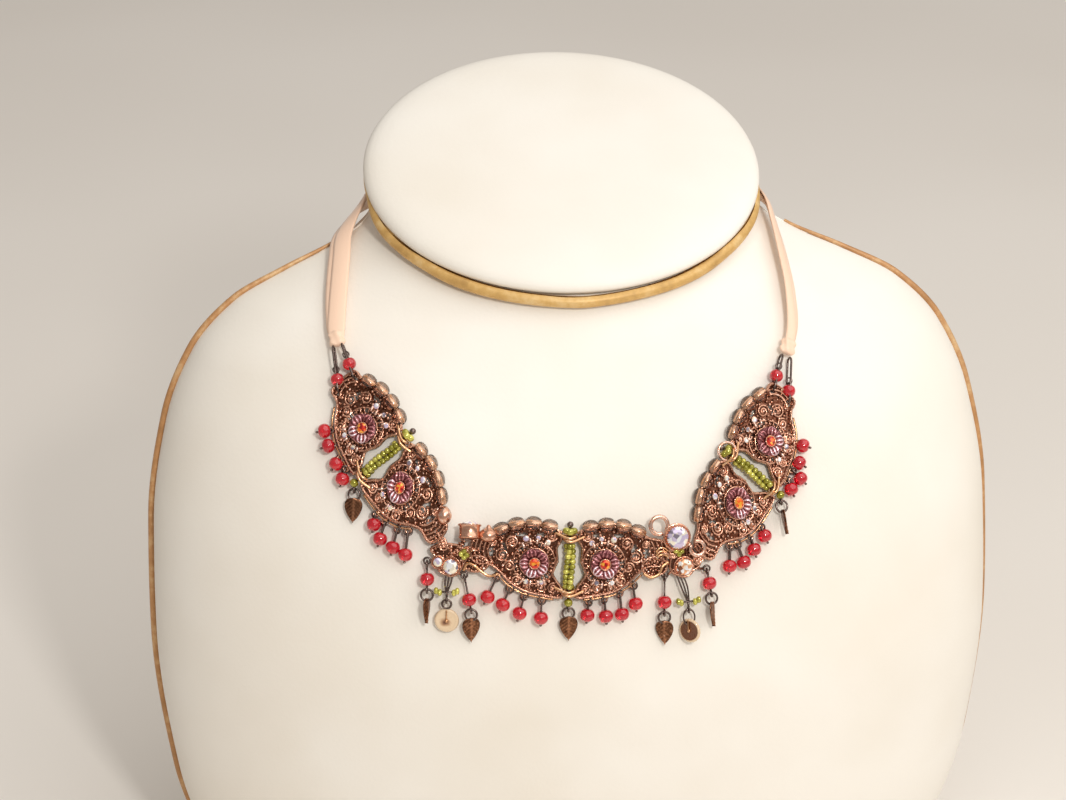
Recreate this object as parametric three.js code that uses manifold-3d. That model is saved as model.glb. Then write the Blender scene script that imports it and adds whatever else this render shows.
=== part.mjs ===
// Choker of pierced copper links on a doubled satin ribbon, worn by a plain covered neck bust.
// Millimetres, +Z up, the wearer's front towards -Y, the bust's flat base on Z = 0.
import * as THREE from 'three';
import { ParametricGeometry } from 'three/addons/geometries/ParametricGeometry.js';
import { mergeVertices } from 'three/addons/utils/BufferGeometryUtils.js';
import Module from 'manifold-3d';

const wasm = await Module();
wasm.setup();

// ---------------------------------------------------------------- driving dimensions

const RAD = Math.PI / 180;

// Level sections of the bust: height, half width, the depth of the front, of the widest line and of
// the back, and how far the corners are drawn in (1 for a plain oval).
const SECTIONS = [
  { z: 0, half: 102, front: -34, edge: 4, back: 26, pinch: 1 },
  { z: 35, half: 113, front: -42, edge: 8, back: 33, pinch: 1 },
  { z: 75, half: 117, front: -45, edge: 13, back: 40, pinch: 1 },
  { z: 108, half: 116, front: -38, edge: 18, back: 45, pinch: 1 },
  { z: 136, half: 111, front: -25, edge: 23, back: 51, pinch: 1 },
  { z: 154, half: 103, front: -12, edge: 27, back: 58, pinch: 1 },
  { z: 166, half: 91, front: -4, edge: 31, back: 66, pinch: 1.12 },
  { z: 173, half: 76, front: 0.8, edge: 35, back: 74, pinch: 1.28 },
  { z: 178, half: 62.5, front: 2.6, edge: 40, back: 82, pinch: 1.32 },
  { z: 183, half: 54, front: 3.4, edge: 45, back: 89, pinch: 1.15 },
  { z: 190, half: 50.5, front: 3.8, edge: 48, back: 92.9, pinch: 1 },
  { z: 225, half: 50.5, front: 3.8, edge: 48, back: 92.9, pinch: 1 },
];
const LEVEL_RINGS = [0, 18, 42, 75, 100, 120, 138, 154]; // heights of the level rings of the bust
// Rings of the neck, as shares of the height from the last level ring to the tilted neck end.
const NECK_RINGS = [0.3, 0.44, 0.56, 0.68, 0.79, 0.89, 1];
const BUST_SIDES = 28;

const CAP = { y: 48, z: 194, tilt: 19, halfWidth: 54.6, halfDepth: 51.5 }; // the oval plate on the neck
const CAP_PROFILE = [ // share of the radius, height over the rim
  [0, -1.5], [0.97, -1.5], [1, 0], [0.98, 2], [0.88, 3.6], [0.45, 5.2], [0, 5.6],
];
const UNDERSIDE = 1.5; // the cap's flat underside, below its rim
const PIPING_RADIUS = 1.6; // gold piping under the cap
const SEAM_RADIUS = 1.1; // gold piping along the outline
const SEAM_TOP = 178;
const GAP = 0.35; // clearance between pieces that touch on the real thing

const LIFT = 2.05; // height of the links' middle plane over the skin
const PLATE = 1.5; // thickness of a link
// The three pairs of links: where the bar that joins a pair lies, how far its top leans clockwise, how
// far its two links sag on it (drop for each step to the right), and how far its leaf has turned.
const PAIRS = [
  { bar: 'bar_left', x: -54.5, z: 138.8, lean: 45, sag: [0.08, 0.22], leafTurn: 0 },
  { bar: 'bar_front', x: -7.4, z: 114.6, lean: 3, sag: [0, 0], leafTurn: 0 },
  { bar: 'bar_right', x: 42.5, z: 132.8, lean: -45, sag: [-0.22, -0.08], leafTurn: 80 },
];
const REACH = 25.4; // from the bar to a link's outer end
const LINK_EYE = { x: 23.6, y: 4.2 }; // the hole in a link's outer end
const RIBBON_EYES = [{ x: 21, y: 7.1 }, { x: 21, y: 1.6 }]; // the two holes in a ribbon link's end
const EYE_HOLE = 0.8;
const BEAD_ROW = [[5.3, 10.9], [9.5, 11.6], [13.9, 11.3], [17.8, 9.9]]; // clear beads on the upper edge
const CLEAR_BEAD = 1.9;
const FLOWER = { x: 9.1, y: 1.2, radius: 3.5, petals: 5, crystal: 1.25 };
const RED_BEAD = 1.95;
const WIRE = 0.28;
const EYE = 0.86; // middle radius of a small round eye
const TIE_RING = 1.35; // middle radius of the ring through a link's end
const LEAF = { half: 2.4, length: 6.6, thick: 0.9 };
const LEAF_RING = 1.2;
const DISC = { radius: 3.25, thick: 0.8 };
const CHARM_HEIGHT = 1.6; // of a charm's middle over the skin, at least

// Each link's fringe: x of the pin's seat on the rim wire, then the place of its red bead.
const FRINGES = [
  [[4.6, 2.9, -11], [7.6, 7, -10], [11.4, 12, -8.9], [14.6, 15.7, -7.4]],
  [[9.4, 11.5, -9.8], [12.8, 15.4, -10.2], [16.2, 19.3, -8.3], [18.4, 22.9, -6.3]],
  [[6.9, 7, -13.3], [11.3, 12.6, -12.2], [15, 17, -10], [18.4, 21, -8]],
  [[5.4, 5.1, -12.4], [9.4, 10, -12.6], [13.4, 14.2, -12], [16.8, 17.7, -9.2]],
  [[9.8, 11.2, -9.7], [13.6, 15.8, -8.6], [17.2, 20.1, -7.5], [18.7, 23.3, -4.3]],
  [[4.6, 3, -10.8], [7.4, 6.9, -11.5], [10, 10, -9], [13.8, 14.3, -7.5]],
];

const BAR = { bottom: -5.6, top: 6.3, radius: 1.6, pin: 0.4, bead: 1.15, upperBead: 9.7, lowerBead: -8.8 };
const LUGS = { even: [7.0, -7.2], odd: [7.9, -6.3], thick: 0.55, hole: 0.76, outer: 1.3 };

// The two connectors, each in a frame at its lower stone: the pierced plate round the stone and its
// holes, the end of each tie, the cup, the two hanging eyes with their red beads, the cross wire with
// the green beads, and how far the disc and the two leaves have turned.
const CONNECTORS = [
  {
    side: 'left', x: -37.9, z: 115.2,
    plate: [
      [-5, 4.4], [-3.4, 2], [-3, -0.8], [-1, -2.2], [2, -1.5], [3.6, 0.6], [4.4, 2.8], [3.2, 5], [-2.4, 5.6],
    ],
    holes: [[-3.1, 3.9], [-0.5, 3.7], [2.2, 3.1]],
    ties: [{ link: 1, end: [-1.6, 4.8] }, { link: 2, end: [3.2, 3.6] }],
    cup: [5, 9.4], spreader: [-0.7, -6.8],
    innerEye: [3.7, -2.2], innerBead: [5.1, -8.7],
    outerEye: [-6, 1.2], outerBead: [-5.9, -3.6],
    discTurn: 0, leafTurns: [20, 75],
  },
  {
    side: 'right', x: 21, z: 113.6,
    plate: [
      [-1.9, 1.8], [-2.2, -0.6], [-1, -2.2], [1.8, -2.2], [4.6, -1.2], [5.8, 0], [4.4, 2.2], [3.4, 4.4],
      [-1.2, 4.6],
    ],
    holes: [[-0.3, 3.4], [2, 3.3], [3.6, 0.8]],
    ties: [{ link: 4, end: [4.6, 0.6] }, { link: 3, end: [-1, 3] }],
    cup: [-1.1, 8.4], spreader: [2.1, -9.8],
    innerEye: [-3.7, -2.2], innerBead: [-4.2, -9.4],
    outerEye: [7.6, -1.6], outerBead: [8.1, -5.5],
    discTurn: -45, leafTurns: [-25, 60],
  },
];
const PLATE_HOLE = 0.7;
const PIN = 0.35; // radius of the pins that tie the connectors' parts together
const STEM = { width: 0.5, share: 0.72 }; // from the plate towards the cup
const CUP = { wall: 0.5, upright: 2, rolled: 3.2 }; // its wall, and its height as it stands or lies
const SPREAD = 2.3; // from the long pin to each green bead beside it
const GREEN_BEAD = 1.35;
const LOWER_STONE = 1.7;
const UPPER_STONE = 2.45;

const RIBBON = { width: 5, folded: 3, thick: 1, lift: 2.5, eyeApart: 1.2 };
const RIBBON_END = [[28.2, 7.9], [31, 8.7]]; // in the end link's frame: the ribbon's edge and its eyes
// The red bead on each wire loop between link and ribbon, and the radius of the loop's ends.
const END_BEAD = { radius: 1.85, share: 0.42, rise: 0.2, loop: 1.3 };
const KNOT = { halfWidth: 2.75, halfHeight: 3.9, thick: 2.2 };
// The ribbon's way round the neck: degrees from the front, height on the skin, and how far the strip is
// turned up on its edge.
const RIBBON_LEFT = [
  [-50, 168.3, 0], [-68.5, 175.9, 0], [-81, 178.6, 0], [-98, 181.6, 0], [-112, 183.3, 0], [-140, 185, 0],
  [-160, 186.5, 0], [-176.4, 187, 0],
];
const RIBBON_RIGHT = [
  [37.4, 162.6, 10], [44.7, 168.9, 25], [56, 174.6, 25], [71.5, 179.5, 25], [84, 182.5, 20], [112, 183.6, 10],
  [140, 185.2, 0], [160, 186.5, 0], [176.4, 187, 0],
];

// ---------------------------------------------------------------- materials

function finish(color, roughness, metalness) {
  return new THREE.MeshStandardMaterial({ color, roughness, metalness });
}
const LEATHERETTE = finish('#f1ebe0', 0.5, 0);
const GOLD_PIPING = finish('#c9993f', 0.45, 0);
const SATIN = finish('#e9b48c', 0.4, 0);
const COPPER = finish('#8a5038', 0.35, 0.9);
const DARK_COPPER = finish('#54372b', 0.4, 0.85);
const PETAL = finish('#b5787a', 0.3, 0.6);
const OLIVE_GLASS = finish('#8f9420', 0.2, 0.1);
const RED_GLASS = finish('#c2152c', 0.1, 0);
const CLEAR_STONE = finish('#e8e2e0', 0.05, 0);
const SHELL = finish('#cda98a', 0.4, 0);

// ---------------------------------------------------------------- solids

// A closed three.js geometry as a manifold solid.
function solid(geometry) {
  const bare = geometry.clone();
  bare.deleteAttribute('normal');
  bare.deleteAttribute('uv');
  const merged = mergeVertices(bare, 1e-4);
  const { position } = merged.attributes;
  const index = merged.index.array;
  const corner = (i) => vec(position.getX(i), position.getY(i), position.getZ(i));
  const faces = [];
  let volume = 0;
  for (let i = 0; i < index.length; i += 3) {
    const [a, b, c] = [index[i], index[i + 1], index[i + 2]];
    if (a === b || b === c || c === a) continue;
    faces.push(a, b, c);
    volume += corner(a).dot(corner(b).cross(corner(c)));
  }
  if (volume < 0) faces.reverse(); // turns every face the right way out
  const vertProperties = new Float32Array(position.array);
  return new wasm.Manifold(new wasm.Mesh({ numProp: 3, vertProperties, triVerts: new Uint32Array(faces) }));
}

function join(...bodies) {
  return bodies.reduce((whole, body) => whole.add(body));
}

function moved(body, matrix) {
  return body.transform(matrix.elements);
}

const group = new THREE.Group();

function addMesh(name, body, material) {
  const { vertProperties, triVerts } = body.getMesh();
  const geometry = new THREE.BufferGeometry();
  geometry.setAttribute('position', new THREE.Float32BufferAttribute(vertProperties, 3));
  geometry.setIndex(new THREE.BufferAttribute(triVerts, 1));
  geometry.computeVertexNormals();
  const mesh = new THREE.Mesh(geometry, material);
  mesh.name = name;
  group.add(mesh);
}

function vec(x, y, z = 0) {
  return new THREE.Vector3(x, y, z);
}

function oval(count, rx, ry, cx = 0, cy = 0, turn = 0) {
  const points = [];
  for (let i = 0; i < count; i++) {
    const a = (i / count) * 2 * Math.PI;
    const p = new THREE.Vector2(rx * Math.cos(a), ry * Math.sin(a));
    points.push(p.rotateAround(new THREE.Vector2(), turn).add(new THREE.Vector2(cx, cy)));
  }
  return points;
}

// A flat plate in the XY plane, centred on Z = 0, with holes cut through.
function plate(outline, holes, thick) {
  const shape = new THREE.Shape(outline);
  shape.holes = holes.map((points) => new THREE.Path(points));
  const geometry = new THREE.ExtrudeGeometry(shape, { depth: thick, bevelEnabled: false, steps: 1 });
  return solid(geometry.translate(0, 0, -thick / 2));
}

// A round bead with slightly flattened ends, its hole's axis along Y.
function bead(radius, at, sides = 10) {
  const [end, shoulder] = [radius * 0.92, radius * 0.42];
  const profile = [[0, -end], [radius, -shoulder], [radius, shoulder], [0, end]];
  const geometry = new THREE.LatheGeometry(profile.map(([x, y]) => new THREE.Vector2(x, y)), sides);
  return solid(geometry.translate(at.x, at.y, at.z));
}

function rod(from, to, radius, sides = 6) {
  const axis = to.clone().sub(from);
  const geometry = new THREE.CylinderGeometry(radius, radius, axis.length(), sides);
  const turn = new THREE.Quaternion().setFromUnitVectors(vec(0, 1, 0), axis.clone().normalize());
  geometry.applyQuaternion(turn);
  const middle = from.clone().add(to).multiplyScalar(0.5);
  return solid(geometry.translate(middle.x, middle.y, middle.z));
}

// A round wire ring whose axis is Z.
function ring(radius, at) {
  return solid(new THREE.TorusGeometry(radius, WIRE, 5, 10).translate(at.x, at.y, at.z));
}

// A small eye bent from a pin's end, its axis along Z, or X when it stands on edge.
function pinEye(at, onEdge) {
  const geometry = new THREE.TorusGeometry(EYE, WIRE, 4, 8);
  if (onEdge) geometry.rotateY(Math.PI / 2);
  return solid(geometry.translate(at.x, at.y, at.z));
}

// A long ring with straight sides and round ends, standing across the line between two points.
function longRing(from, to, across, radius) {
  const along = to.clone().sub(from).normalize();
  const axis = along.clone().cross(across).normalize();
  const upright = axis.clone().cross(along);
  const turns = [-90, -45, 0, 45, 90, 90, 135, 180, 225, 270]; // five at the far end, five at the near one
  return solid(new ParametricGeometry((u, v, target) => {
    const step = Math.round(v * turns.length) % turns.length;
    const a = turns[step] * RAD;
    const far = step < 5;
    const out = along.clone().multiplyScalar(Math.cos(a)).addScaledVector(upright, Math.sin(a));
    target.copy(far ? to : from).addScaledVector(along, far ? -radius : radius).addScaledVector(out, radius);
    const round = 2 * Math.PI * u;
    target.addScaledVector(out, Math.cos(round) * WIRE).addScaledVector(axis, Math.sin(round) * WIRE);
  }, 5, turns.length));
}

// A round turned stone: a straight girdle, 8 crown facets and a flat table.
function stone(radius, at, height) {
  const profile = [[0, 0], [radius, 0], [radius, height * 0.4], [radius * 0.6, height], [0, height]];
  const geometry = new THREE.LatheGeometry(profile.map(([x, y]) => new THREE.Vector2(x, y)), 8);
  return solid(geometry.rotateX(Math.PI / 2).translate(at.x, at.y, at.z));
}

// ---------------------------------------------------------------- the bust's skin

// Smooth value between the rows of the section table, without overshoot.
function between(z, key) {
  const last = SECTIONS.length - 1;
  let i = 0;
  while (i < last - 1 && z > SECTIONS[i + 1].z) i++;
  const slope = (k) => (SECTIONS[k + 1][key] - SECTIONS[k][key]) / (SECTIONS[k + 1].z - SECTIONS[k].z);
  const tangent = (k) => {
    if (k === 0) return slope(0);
    if (k === last) return slope(last - 1);
    const [a, b] = [slope(k - 1), slope(k)];
    return a * b <= 0 ? 0 : (2 * a * b) / (a + b);
  };
  const [low, high] = [SECTIONS[i], SECTIONS[i + 1]];
  const h = high.z - low.z;
  const t = (z - low.z) / h;
  return (1 + 2 * t) * (1 - t) ** 2 * low[key] + t * (1 - t) ** 2 * h * tangent(i)
    + t * t * (3 - 2 * t) * high[key] + t * t * (t - 1) * h * tangent(i + 1);
}

// The point on the skin at a height and an angle from the front.
function skinAt(angle, z) {
  const keys = ['half', 'front', 'edge', 'back', 'pinch'];
  const [half, front, edge, back, pinch] = keys.map((key) => between(z, key));
  const drawn = (value) => Math.sign(value) * Math.abs(value) ** pinch;
  const depth = Math.cos(angle) > 0 ? edge - front : back - edge;
  return vec(half * drawn(Math.sin(angle)), edge - depth * drawn(Math.cos(angle)), z);
}

function skinNormal(angle, z) {
  const round = skinAt(angle + 0.01, z).sub(skinAt(angle - 0.01, z));
  const up = skinAt(angle, z + 0.3).sub(skinAt(angle, z - 0.3));
  return round.cross(up).normalize();
}

function frontAngle(x, z) {
  const share = Math.abs(x) / between(z, 'half');
  return Math.sign(x) * Math.asin(share ** (1 / between(z, 'pinch')));
}

function onFront(x, z, height = 0) {
  const angle = frontAngle(x, z);
  return skinAt(angle, z).addScaledVector(skinNormal(angle, z), height);
}

// A point brought square to the skin until it lies `height` over it.
function overSkin(point, height) {
  const place = point.clone();
  for (let i = 0; i < 3; i++) {
    const angle = frontAngle(place.x, place.z);
    const normal = skinNormal(angle, place.z);
    const depth = place.clone().sub(skinAt(angle, place.z)).dot(normal);
    place.addScaledVector(normal, height - depth);
  }
  return place;
}

// A frame on the front of the bust: up along the skin, leaning clockwise, and Z away from it.
function seat(x, z, lean, height) {
  const normal = skinNormal(frontAngle(x, z), z);
  const plumb = vec(0, 0, 1).addScaledVector(normal, -normal.z).normalize();
  const level = plumb.clone().cross(normal);
  const a = lean * RAD;
  const up = plumb.clone().multiplyScalar(Math.cos(a)).addScaledVector(level, Math.sin(a));
  const right = level.clone().multiplyScalar(Math.cos(a)).addScaledVector(plumb, -Math.sin(a));
  return new THREE.Matrix4().makeBasis(right, up, normal).setPosition(onFront(x, z, height));
}

function axisOf(matrix, index) {
  return new THREE.Vector3().setFromMatrixColumn(matrix, index);
}

// A link shares its bar's place and up axis, and is turned about the bar to lie along the skin. Where it
// sags, the frame's first axis leans with it.
function linkSeat(number) {
  const pair = PAIRS[Math.floor(number / 2)];
  const side = number % 2 ? 1 : -1;
  const bar = seat(pair.x, pair.z, pair.lean, LIFT);
  const origin = axisOf(bar, 3);
  const up = axisOf(bar, 1);
  const far = onFront(pair.x, pair.z).addScaledVector(axisOf(bar, 0), side * (REACH - 3));
  const right = onFront(far.x, far.z, LIFT).sub(origin);
  right.addScaledVector(up, -right.dot(up)).normalize().multiplyScalar(side);
  const out = right.clone().cross(up);
  right.addScaledVector(up, -pair.sag[number % 2]);
  return new THREE.Matrix4().makeBasis(right, up, out).setPosition(origin);
}

const LINK_SEATS = [0, 1, 2, 3, 4, 5].map(linkSeat);
const sideOf = (number) => (number % 2 ? 1 : -1);
const holdsRibbon = (number) => number === 0 || number === 5;
const onLink = (number, x, y, z = 0) => vec(sideOf(number) * x, y, z).applyMatrix4(LINK_SEATS[number]);

// ---------------------------------------------------------------- the bust

// The height at a depth `y` of the plane that lies `drop` under the cap's rim, tilted like the cap.
function tiltedPlane(y, drop) {
  return CAP.z - drop / Math.cos(CAP.tilt * RAD) + (y - CAP.y) * Math.tan(CAP.tilt * RAD);
}

// The height of the tilted neck end at an angle, settled by a few rounds.
function neckTop(angle) {
  let z = CAP.z;
  for (let i = 0; i < 12; i++) z = tiltedPlane(skinAt(angle, z).y, UNDERSIDE + GAP);
  return z;
}

function bustForm() {
  const rows = LEVEL_RINGS.length + NECK_RINGS.length;
  const lastLevel = LEVEL_RINGS[LEVEL_RINGS.length - 1];
  return solid(new ParametricGeometry((u, v, target) => {
    const row = Math.round(v * (rows + 1)) - 1;
    const angle = 2 * Math.PI * u;
    if (row < 0) {
      target.set(0, skinAt(Math.PI / 2, 0).y, 0);
    } else if (row < LEVEL_RINGS.length) {
      target.copy(skinAt(angle, LEVEL_RINGS[row]));
    } else if (row < rows) {
      const share = NECK_RINGS[row - LEVEL_RINGS.length];
      target.copy(skinAt(angle, lastLevel + share * (neckTop(angle) - lastLevel)));
    } else {
      target.set(0, CAP.y, tiltedPlane(CAP.y, UNDERSIDE + GAP));
    }
  }, BUST_SIDES, rows + 1));
}

const capFrame = new THREE.Matrix4().makeRotationX(CAP.tilt * RAD).setPosition(0, CAP.y, CAP.z);

function neckCap() {
  const profile = CAP_PROFILE.map(([share, height]) => new THREE.Vector2(share, height));
  const geometry = new THREE.LatheGeometry(profile, BUST_SIDES).rotateX(Math.PI / 2);
  return moved(solid(geometry.scale(CAP.halfWidth, CAP.halfDepth, 1)), capFrame);
}

// A ring of piping round the neck, close under the cap.
function capPiping() {
  const up = axisOf(capFrame, 2);
  const drop = UNDERSIDE + PIPING_RADIUS + GAP;
  return solid(new ParametricGeometry((u, v, target) => {
    const angle = 2 * Math.PI * v;
    const wire = 2 * Math.PI * u;
    let z = CAP.z;
    for (let i = 0; i < 12; i++) z += tiltedPlane(pipingLine(angle, z).y, drop) - pipingLine(angle, z).z;
    const out = skinAt(angle, z).sub(skinAt(angle + Math.PI, z));
    out.addScaledVector(up, -out.dot(up)).normalize();
    target.copy(pipingLine(angle, z)).addScaledVector(out, PIPING_RADIUS * Math.cos(wire));
    target.addScaledVector(up, PIPING_RADIUS * Math.sin(wire));
  }, 5, BUST_SIDES));
}

// The middle line of the piping under the cap, clear of the neck's flats.
function pipingLine(angle, z) {
  return skinAt(angle, z).addScaledVector(skinNormal(angle, z), PIPING_RADIUS + 1.5 * GAP);
}

// Piping along the widest line of the bust, from the base to the shoulder.
function seamPiping(side) {
  const path = [];
  const steps = 12;
  for (let i = 0; i <= steps; i++) {
    const z = 0.6 + SEAM_RADIUS + (SEAM_TOP - 2) * Math.sin((i / steps) * Math.PI / 2);
    const angle = side * Math.PI / 2;
    path.push(skinAt(angle, z).addScaledVector(skinNormal(angle, z), SEAM_RADIUS + GAP));
  }
  return tube(path, SEAM_RADIUS, 5, steps);
}

function tube(points, radius, sides, steps) {
  const shape = new THREE.Shape(oval(sides, radius, radius));
  const extrudePath = new THREE.CatmullRomCurve3(points);
  return solid(new THREE.ExtrudeGeometry(shape, { steps, bevelEnabled: false, extrudePath }));
}

// ---------------------------------------------------------------- the links

// From the top inner corner over the bead row to the outer end, and back along the lower edge.
const PETAL_EDGE = [[2.3, 7.4], [2.8, 9.4], [6, 10.6], [11.5, 10.9], [17.5, 9.2]];
const CONNECTOR_END = [[21, 7.9], [24.4, 7.2], [25.4, 5.9], [25.4, 2.2], [24.2, 0.9], [20.6, 0.6]];
const RIBBON_TIP = [[20, 8.6], [22, 8.5], [22.8, 7.6], [22.8, 1.2], [22, 0.2], [20, 0]];
const LOWER_EDGE = [[18.3, -0.9], [15.2, -4], [11.4, -6.1], [7.4, -7], [1.9, -7.6]];
const WAIST = [[1.9, -5.6], [4.4, -1.5], [3.2, 1.6], [3.4, 5.2]];

const FLOWER_GAPS = [-125, -65, -5, 55, 115]; // degrees of the openings round the flower
const UPPER_GAPS = [7.2, 12.6]; // x of the openings under the bead row

function linkOutline(side, ribbonEnd) {
  const corners = [...PETAL_EDGE, ...(ribbonEnd ? RIBBON_TIP : CONNECTOR_END), ...LOWER_EDGE, ...WAIST];
  return corners.map(([x, y]) => new THREE.Vector2(side * x, y));
}

function linkHoles(side, ribbonEnd) {
  const holes = [];
  for (const degrees of FLOWER_GAPS) {
    const a = degrees * RAD;
    holes.push([FLOWER.x + 5 * Math.cos(a), FLOWER.y + 5 * Math.sin(a), 0.85, 1.8, a]);
  }
  for (const x of UPPER_GAPS) holes.push([x, 8.5, 1.6, 0.55, 0]);
  holes.push([17.1, 4.2, 0.9, 2.2, 0]);
  const eyes = ribbonEnd ? RIBBON_EYES : [LINK_EYE];
  for (const eye of eyes) holes.push([eye.x, eye.y, EYE_HOLE, EYE_HOLE, 0]);
  if (!ribbonEnd) holes.push([20.4, 4.3, 1, 1.7, 0]);
  return holes.map(([x, y, rx, ry, turn]) => oval(6, rx, ry, side * x, y, side > 0 ? turn : -turn));
}

// A lug round the bar's pin, with its arm to the plate.
function lug(side, y) {
  const { outer, hole, thick } = LUGS;
  const turns = [-75, -130, 180, 130, 75];
  const round = turns.map((a) => [outer * Math.cos(a * RAD), outer * Math.sin(a * RAD)]);
  const outline = [...round, [3, 0.5], [3, -0.5]].map(([x, z]) => new THREE.Vector2(side * x, z));
  const collar = plate(outline, [oval(8, hole, hole)], thick);
  return moved(collar, new THREE.Matrix4().makeRotationX(Math.PI / 2).setPosition(0, y, 0));
}

function link(number) {
  const side = sideOf(number);
  const ribbonEnd = holdsRibbon(number);
  const body = plate(linkOutline(side, ribbonEnd), linkHoles(side, ribbonEnd), PLATE);
  const beads = BEAD_ROW.map(([x, y]) => bead(CLEAR_BEAD, vec(side * x, y, 0.25)));
  const lugs = (side > 0 ? LUGS.even : LUGS.odd).map((y) => lug(side, y));
  return moved(join(body, ...beads, ...lugs), LINK_SEATS[number]);
}

// Five lobed petals round a small crystal, just above the plate.
function flower(number) {
  const side = sideOf(number);
  const bottom = PLATE / 2 + GAP;
  const rows = [[0, 0], [1, 0.3], [0.6, 1], [0, 1.1]]; // share of the radius, height
  const petals = new ParametricGeometry((u, v, target) => {
    const [share, height] = rows[Math.round(v * (rows.length - 1))];
    const a = 2 * Math.PI * u;
    const lobe = FLOWER.radius * (0.84 + 0.16 * Math.cos(FLOWER.petals * a));
    target.set(share * lobe * Math.cos(a), share * lobe * Math.sin(a), height);
  }, FLOWER.petals * 2, rows.length - 1);
  const crystal = stone(FLOWER.crystal, vec(0, 0, 0.7), 1.5);
  const lift = new THREE.Matrix4().makeTranslation(side * FLOWER.x, FLOWER.y, bottom);
  return moved(solid(petals).add(crystal), LINK_SEATS[number].clone().multiply(lift));
}

// Three strands of small green beads, lightly twisted, on a pin with a bead and a foot eye.
function bar(pair) {
  const { bottom, top, radius } = BAR;
  const steps = 6;
  const strands = new ParametricGeometry((u, v, target) => {
    const row = Math.round(v * (steps + 2)) - 1;
    const share = THREE.MathUtils.clamp(row / steps, 0, 1);
    const y = bottom + (top - bottom) * share;
    const a = 2 * Math.PI * u;
    const inside = row < 0 || row > steps;
    const r = inside ? 0 : radius * (0.86 + 0.14 * Math.cos(3 * a));
    const turn = a + share * 2;
    target.set(r * Math.sin(turn), y, r * Math.cos(turn));
  }, 9, steps + 2);
  const head = BAR.upperBead + BAR.bead + 0.4;
  const body = join(
    solid(strands),
    rod(vec(0, head), vec(0, BAR.lowerBead), BAR.pin, 5),
    bead(BAR.bead, vec(0, BAR.upperBead)),
    bead(0.8, vec(0, head), 6),
    bead(BAR.bead, vec(0, BAR.lowerBead)),
  );
  const foot = pinEye(vec(0, 0), true);
  return moved(body, seat(pair.x, pair.z, pair.lean, LIFT)).add(moved(foot, barLeafFrame(pair)));
}

// The leaf under a bar hangs plumb from an eye just below the lowest bead.
function barLeafFrame(pair) {
  const frame = seat(pair.x, pair.z, pair.lean, LIFT);
  const lowest = vec(0, BAR.lowerBead).applyMatrix4(frame);
  const plumb = charmFrame(lowest, LEAF.half, pair.leafTurn);
  return plumb.setPosition(vec(0, -BAR.bead - EYE + 0.1).applyMatrix4(plumb));
}

// The rim wire under a link's lower edge, in the link's own frame.
const RIM = [[3.9, -8.35], [7.5, -7.85], [11.7, -6.95], [15.8, -4.75], [18.95, -1.6]];

function rimHeight(x) {
  let i = 0;
  while (i < RIM.length - 2 && x > RIM[i + 1][0]) i++;
  const [[x0, y0], [x1, y1]] = [RIM[i], RIM[i + 1]];
  return y0 + ((y1 - y0) * (x - x0)) / (x1 - x0);
}

// Four red beads on pins that hang from the rim wire and lie against the skin.
function fringe(number) {
  const wire = tube(RIM.map(([x, y]) => onLink(number, x, y)), 0.36, 5, 5);
  const drops = FRINGES[number].map(([seatX, x, y]) => {
    const place = overSkin(onLink(number, x, y), RED_BEAD + GAP);
    const top = onLink(number, seatX, rimHeight(seatX));
    return rod(top, place, WIRE, 4).add(bead(RED_BEAD, place));
  });
  return join(wire, ...drops);
}

// ---------------------------------------------------------------- hanging pieces

// A frame at an eye, whose -Y leads down to a point that lies `height` over the skin.
function hangFrame(eye, target, height) {
  const end = overSkin(target, height);
  const up = eye.clone().sub(end).normalize();
  const normal = skinNormal(frontAngle(end.x, end.z), end.z);
  const out = normal.addScaledVector(up, -normal.dot(up)).normalize();
  return new THREE.Matrix4().makeBasis(up.clone().cross(out), up, out).setPosition(eye);
}

// The frame of a charm that hangs plumb from an eye, clear of the skin when it is turned.
function charmFrame(eye, halfWidth, turn) {
  const clear = halfWidth * Math.abs(Math.sin(turn * RAD)) + 2 * GAP;
  return hangFrame(eye, eye.clone().add(vec(0, 0, -8)), Math.max(CHARM_HEIGHT, clear));
}

// A pointed leaf hanging from its own ring; `turn` shows it from the side.
function leaf(frame, turn) {
  const top = -2 * LEAF_RING - 0.15;
  const { half, length } = LEAF;
  const outline = [[0, 0], [-0.6, -0.25], [-0.95, -1.8], [-0.85, -3.2], [-0.5, -5], [0, -length]];
  const points = outline.map(([share, y]) => new THREE.Vector2(share * half, top + y));
  const mirrored = points.slice(1, -1).reverse().map((p) => new THREE.Vector2(-p.x, p.y));
  const blade = plate([...points, ...mirrored], [], LEAF.thick);
  const spin = new THREE.Matrix4().makeRotationY(turn * RAD);
  return moved(moved(blade, spin).add(ring(LEAF_RING, vec(0, -LEAF_RING))), frame);
}

// A thin round disc under a longer ring.
function disc(frame, turn) {
  const { radius, thick } = DISC;
  const blade = plate(oval(12, radius, radius, 0, 0.05 - 2 * LEAF_RING - radius), [], thick);
  const spin = new THREE.Matrix4().makeRotationY(turn * RAD);
  return moved(moved(blade, spin).add(ring(LEAF_RING, vec(0, -LEAF_RING))), frame);
}

// ---------------------------------------------------------------- the connectors

const hangingEye = (spec, name) => vec(...spec[`${name}Eye`]);
const spreaderEye = (spec) => vec(spec.spreader[0], spec.spreader[1] - 1.2 - EYE);
const connectorSeat = (spec) => seat(spec.x, spec.z, 0, LIFT);
const onConnector = (spec, x, y) => vec(x, y, 0).applyMatrix4(connectorSeat(spec));

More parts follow.
